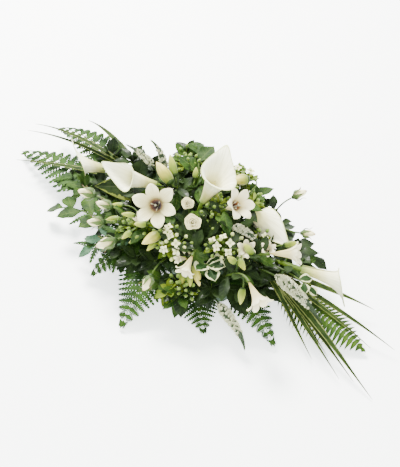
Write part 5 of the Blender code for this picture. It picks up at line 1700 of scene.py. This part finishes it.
for i, (name, share, place, aim, stars, berries) in enumerate(SIDE_SPRAYS):
    head = place - aim * SPRAY_DROP
    stalks.append(branch(stems[name], share, head, aim, STALK_TIP, 7))
    cluster = floret_cluster(head, aim, stars, berries, SPRAY_SPREAD, random.Random(i), SPRAY_REACH)
    for group, more in zip((stalks, petals, buds), cluster):
        group += more
    for j in range(3):
        out = upright(head, aim).to_3x3() @ polar(j * math.tau / 3 + i, 1.0, 0.5)
        leaves.append(one_leaf(head, out, *SPRAY_LEAF, BROAD_LEAF))
for part, slot, finish, shapes in (("stalks", "floret_pale", "green_stem", stalks),
                                   ("stars", "floret_pale", "star_floret_petal", petals),
                                   ("berries", "berry_green", "green_berry", buds),
                                   ("leaves", "leaf_green", "young_leaf", leaves)):
    make_piece("side_spray_" + part, slot, finish, shapes)

# %% [markdown]
# ## Stage, light and camera
# The spray lies on a plain pale surface under soft light. The photograph looks down at it from the
# front right at about 45 degrees. A long lens keeps the near and far ends alike in scale, as there.

# %% Floor, light and camera
VIEW_TURN = math.radians(41)
VIEW_TILT = math.radians(45)
VIEW_DISTANCE = 1.9
PIXEL = 0.0016
PHOTO_WIDTH = 400
VIEW_CENTRE = Vector((-0.018, 0.040, 0.0))
SENSOR = 36.0
FLOOR_SIZE = 4.0
FLOOR_COLOUR = (0.95, 0.96, 0.955, 1.0)
FLOOR_GLOW = (0.96, 1.0, 0.99, 1.0)
GLOW_STRENGTH = 1.6
SKY_COLOUR = (0.90, 1.0, 0.98, 1.0)
SKY_STRENGTH = 2.2
LIGHT_COLOUR = (1.0, 0.965, 0.93)
LIGHTS = (
    ("key", (-1.1, 0.6, 1.7), 0.8, 245.0),
    ("fill", (1.4, -1.3, 1.6), 1.6, 75.0),
)


def look(item, place, target):
    """Put an object at place, with its -Z axis towards target."""
    item.location = place
    item.rotation_euler = (target - place).to_track_quat("-Z", "Y").to_euler()
    bpy.context.collection.objects.link(item)


flat = bmesh.new()
bmesh.ops.create_grid(flat, x_segments=1, y_segments=1, size=FLOOR_SIZE)
mesh = bpy.data.meshes.new("pale_floor")
flat.to_mesh(mesh)
flat.free()
floor = bpy.data.objects.new("pale_floor", mesh)
bpy.context.collection.objects.link(floor)
tree, shader = new_finish("pale_surface", 0.7)
shader.inputs["Base Color"].default_value = FLOOR_COLOUR
shader.inputs["Emission Color"].default_value = FLOOR_GLOW
shader.inputs["Emission Strength"].default_value = GLOW_STRENGTH
mesh.materials.append(finishes["pale_surface"])

level = math.cos(VIEW_TILT)
forward = Vector((-math.sin(VIEW_TURN) * level, math.cos(VIEW_TURN) * level, -math.sin(VIEW_TILT)))
lens = bpy.data.cameras.new("photo_camera")
lens.sensor_fit = "HORIZONTAL"
lens.sensor_width = SENSOR
lens.lens = SENSOR * VIEW_DISTANCE / (PHOTO_WIDTH * PIXEL)
camera = bpy.data.objects.new("photo_camera", lens)
look(camera, VIEW_CENTRE - forward * VIEW_DISTANCE, VIEW_CENTRE)
bpy.context.scene.camera = camera

for name, place, size, power in LIGHTS:
    lamp = bpy.data.lights.new(name, "AREA")
    lamp.shape = "DISK"
    lamp.size = size
    lamp.energy = power
    lamp.color = LIGHT_COLOUR
    look(bpy.data.objects.new(name, lamp), Vector(place), Vector((0, 0, 0)))
world = bpy.data.worlds.new("soft_room")
world.use_nodes = True
sky = world.node_tree.nodes["Background"]
sky.inputs["Color"].default_value = SKY_COLOUR
sky.inputs["Strength"].default_value = SKY_STRENGTH
bpy.context.scene.world = world
print(len(LIGHTS), "lights, a camera of", round(lens.lens), "mm")
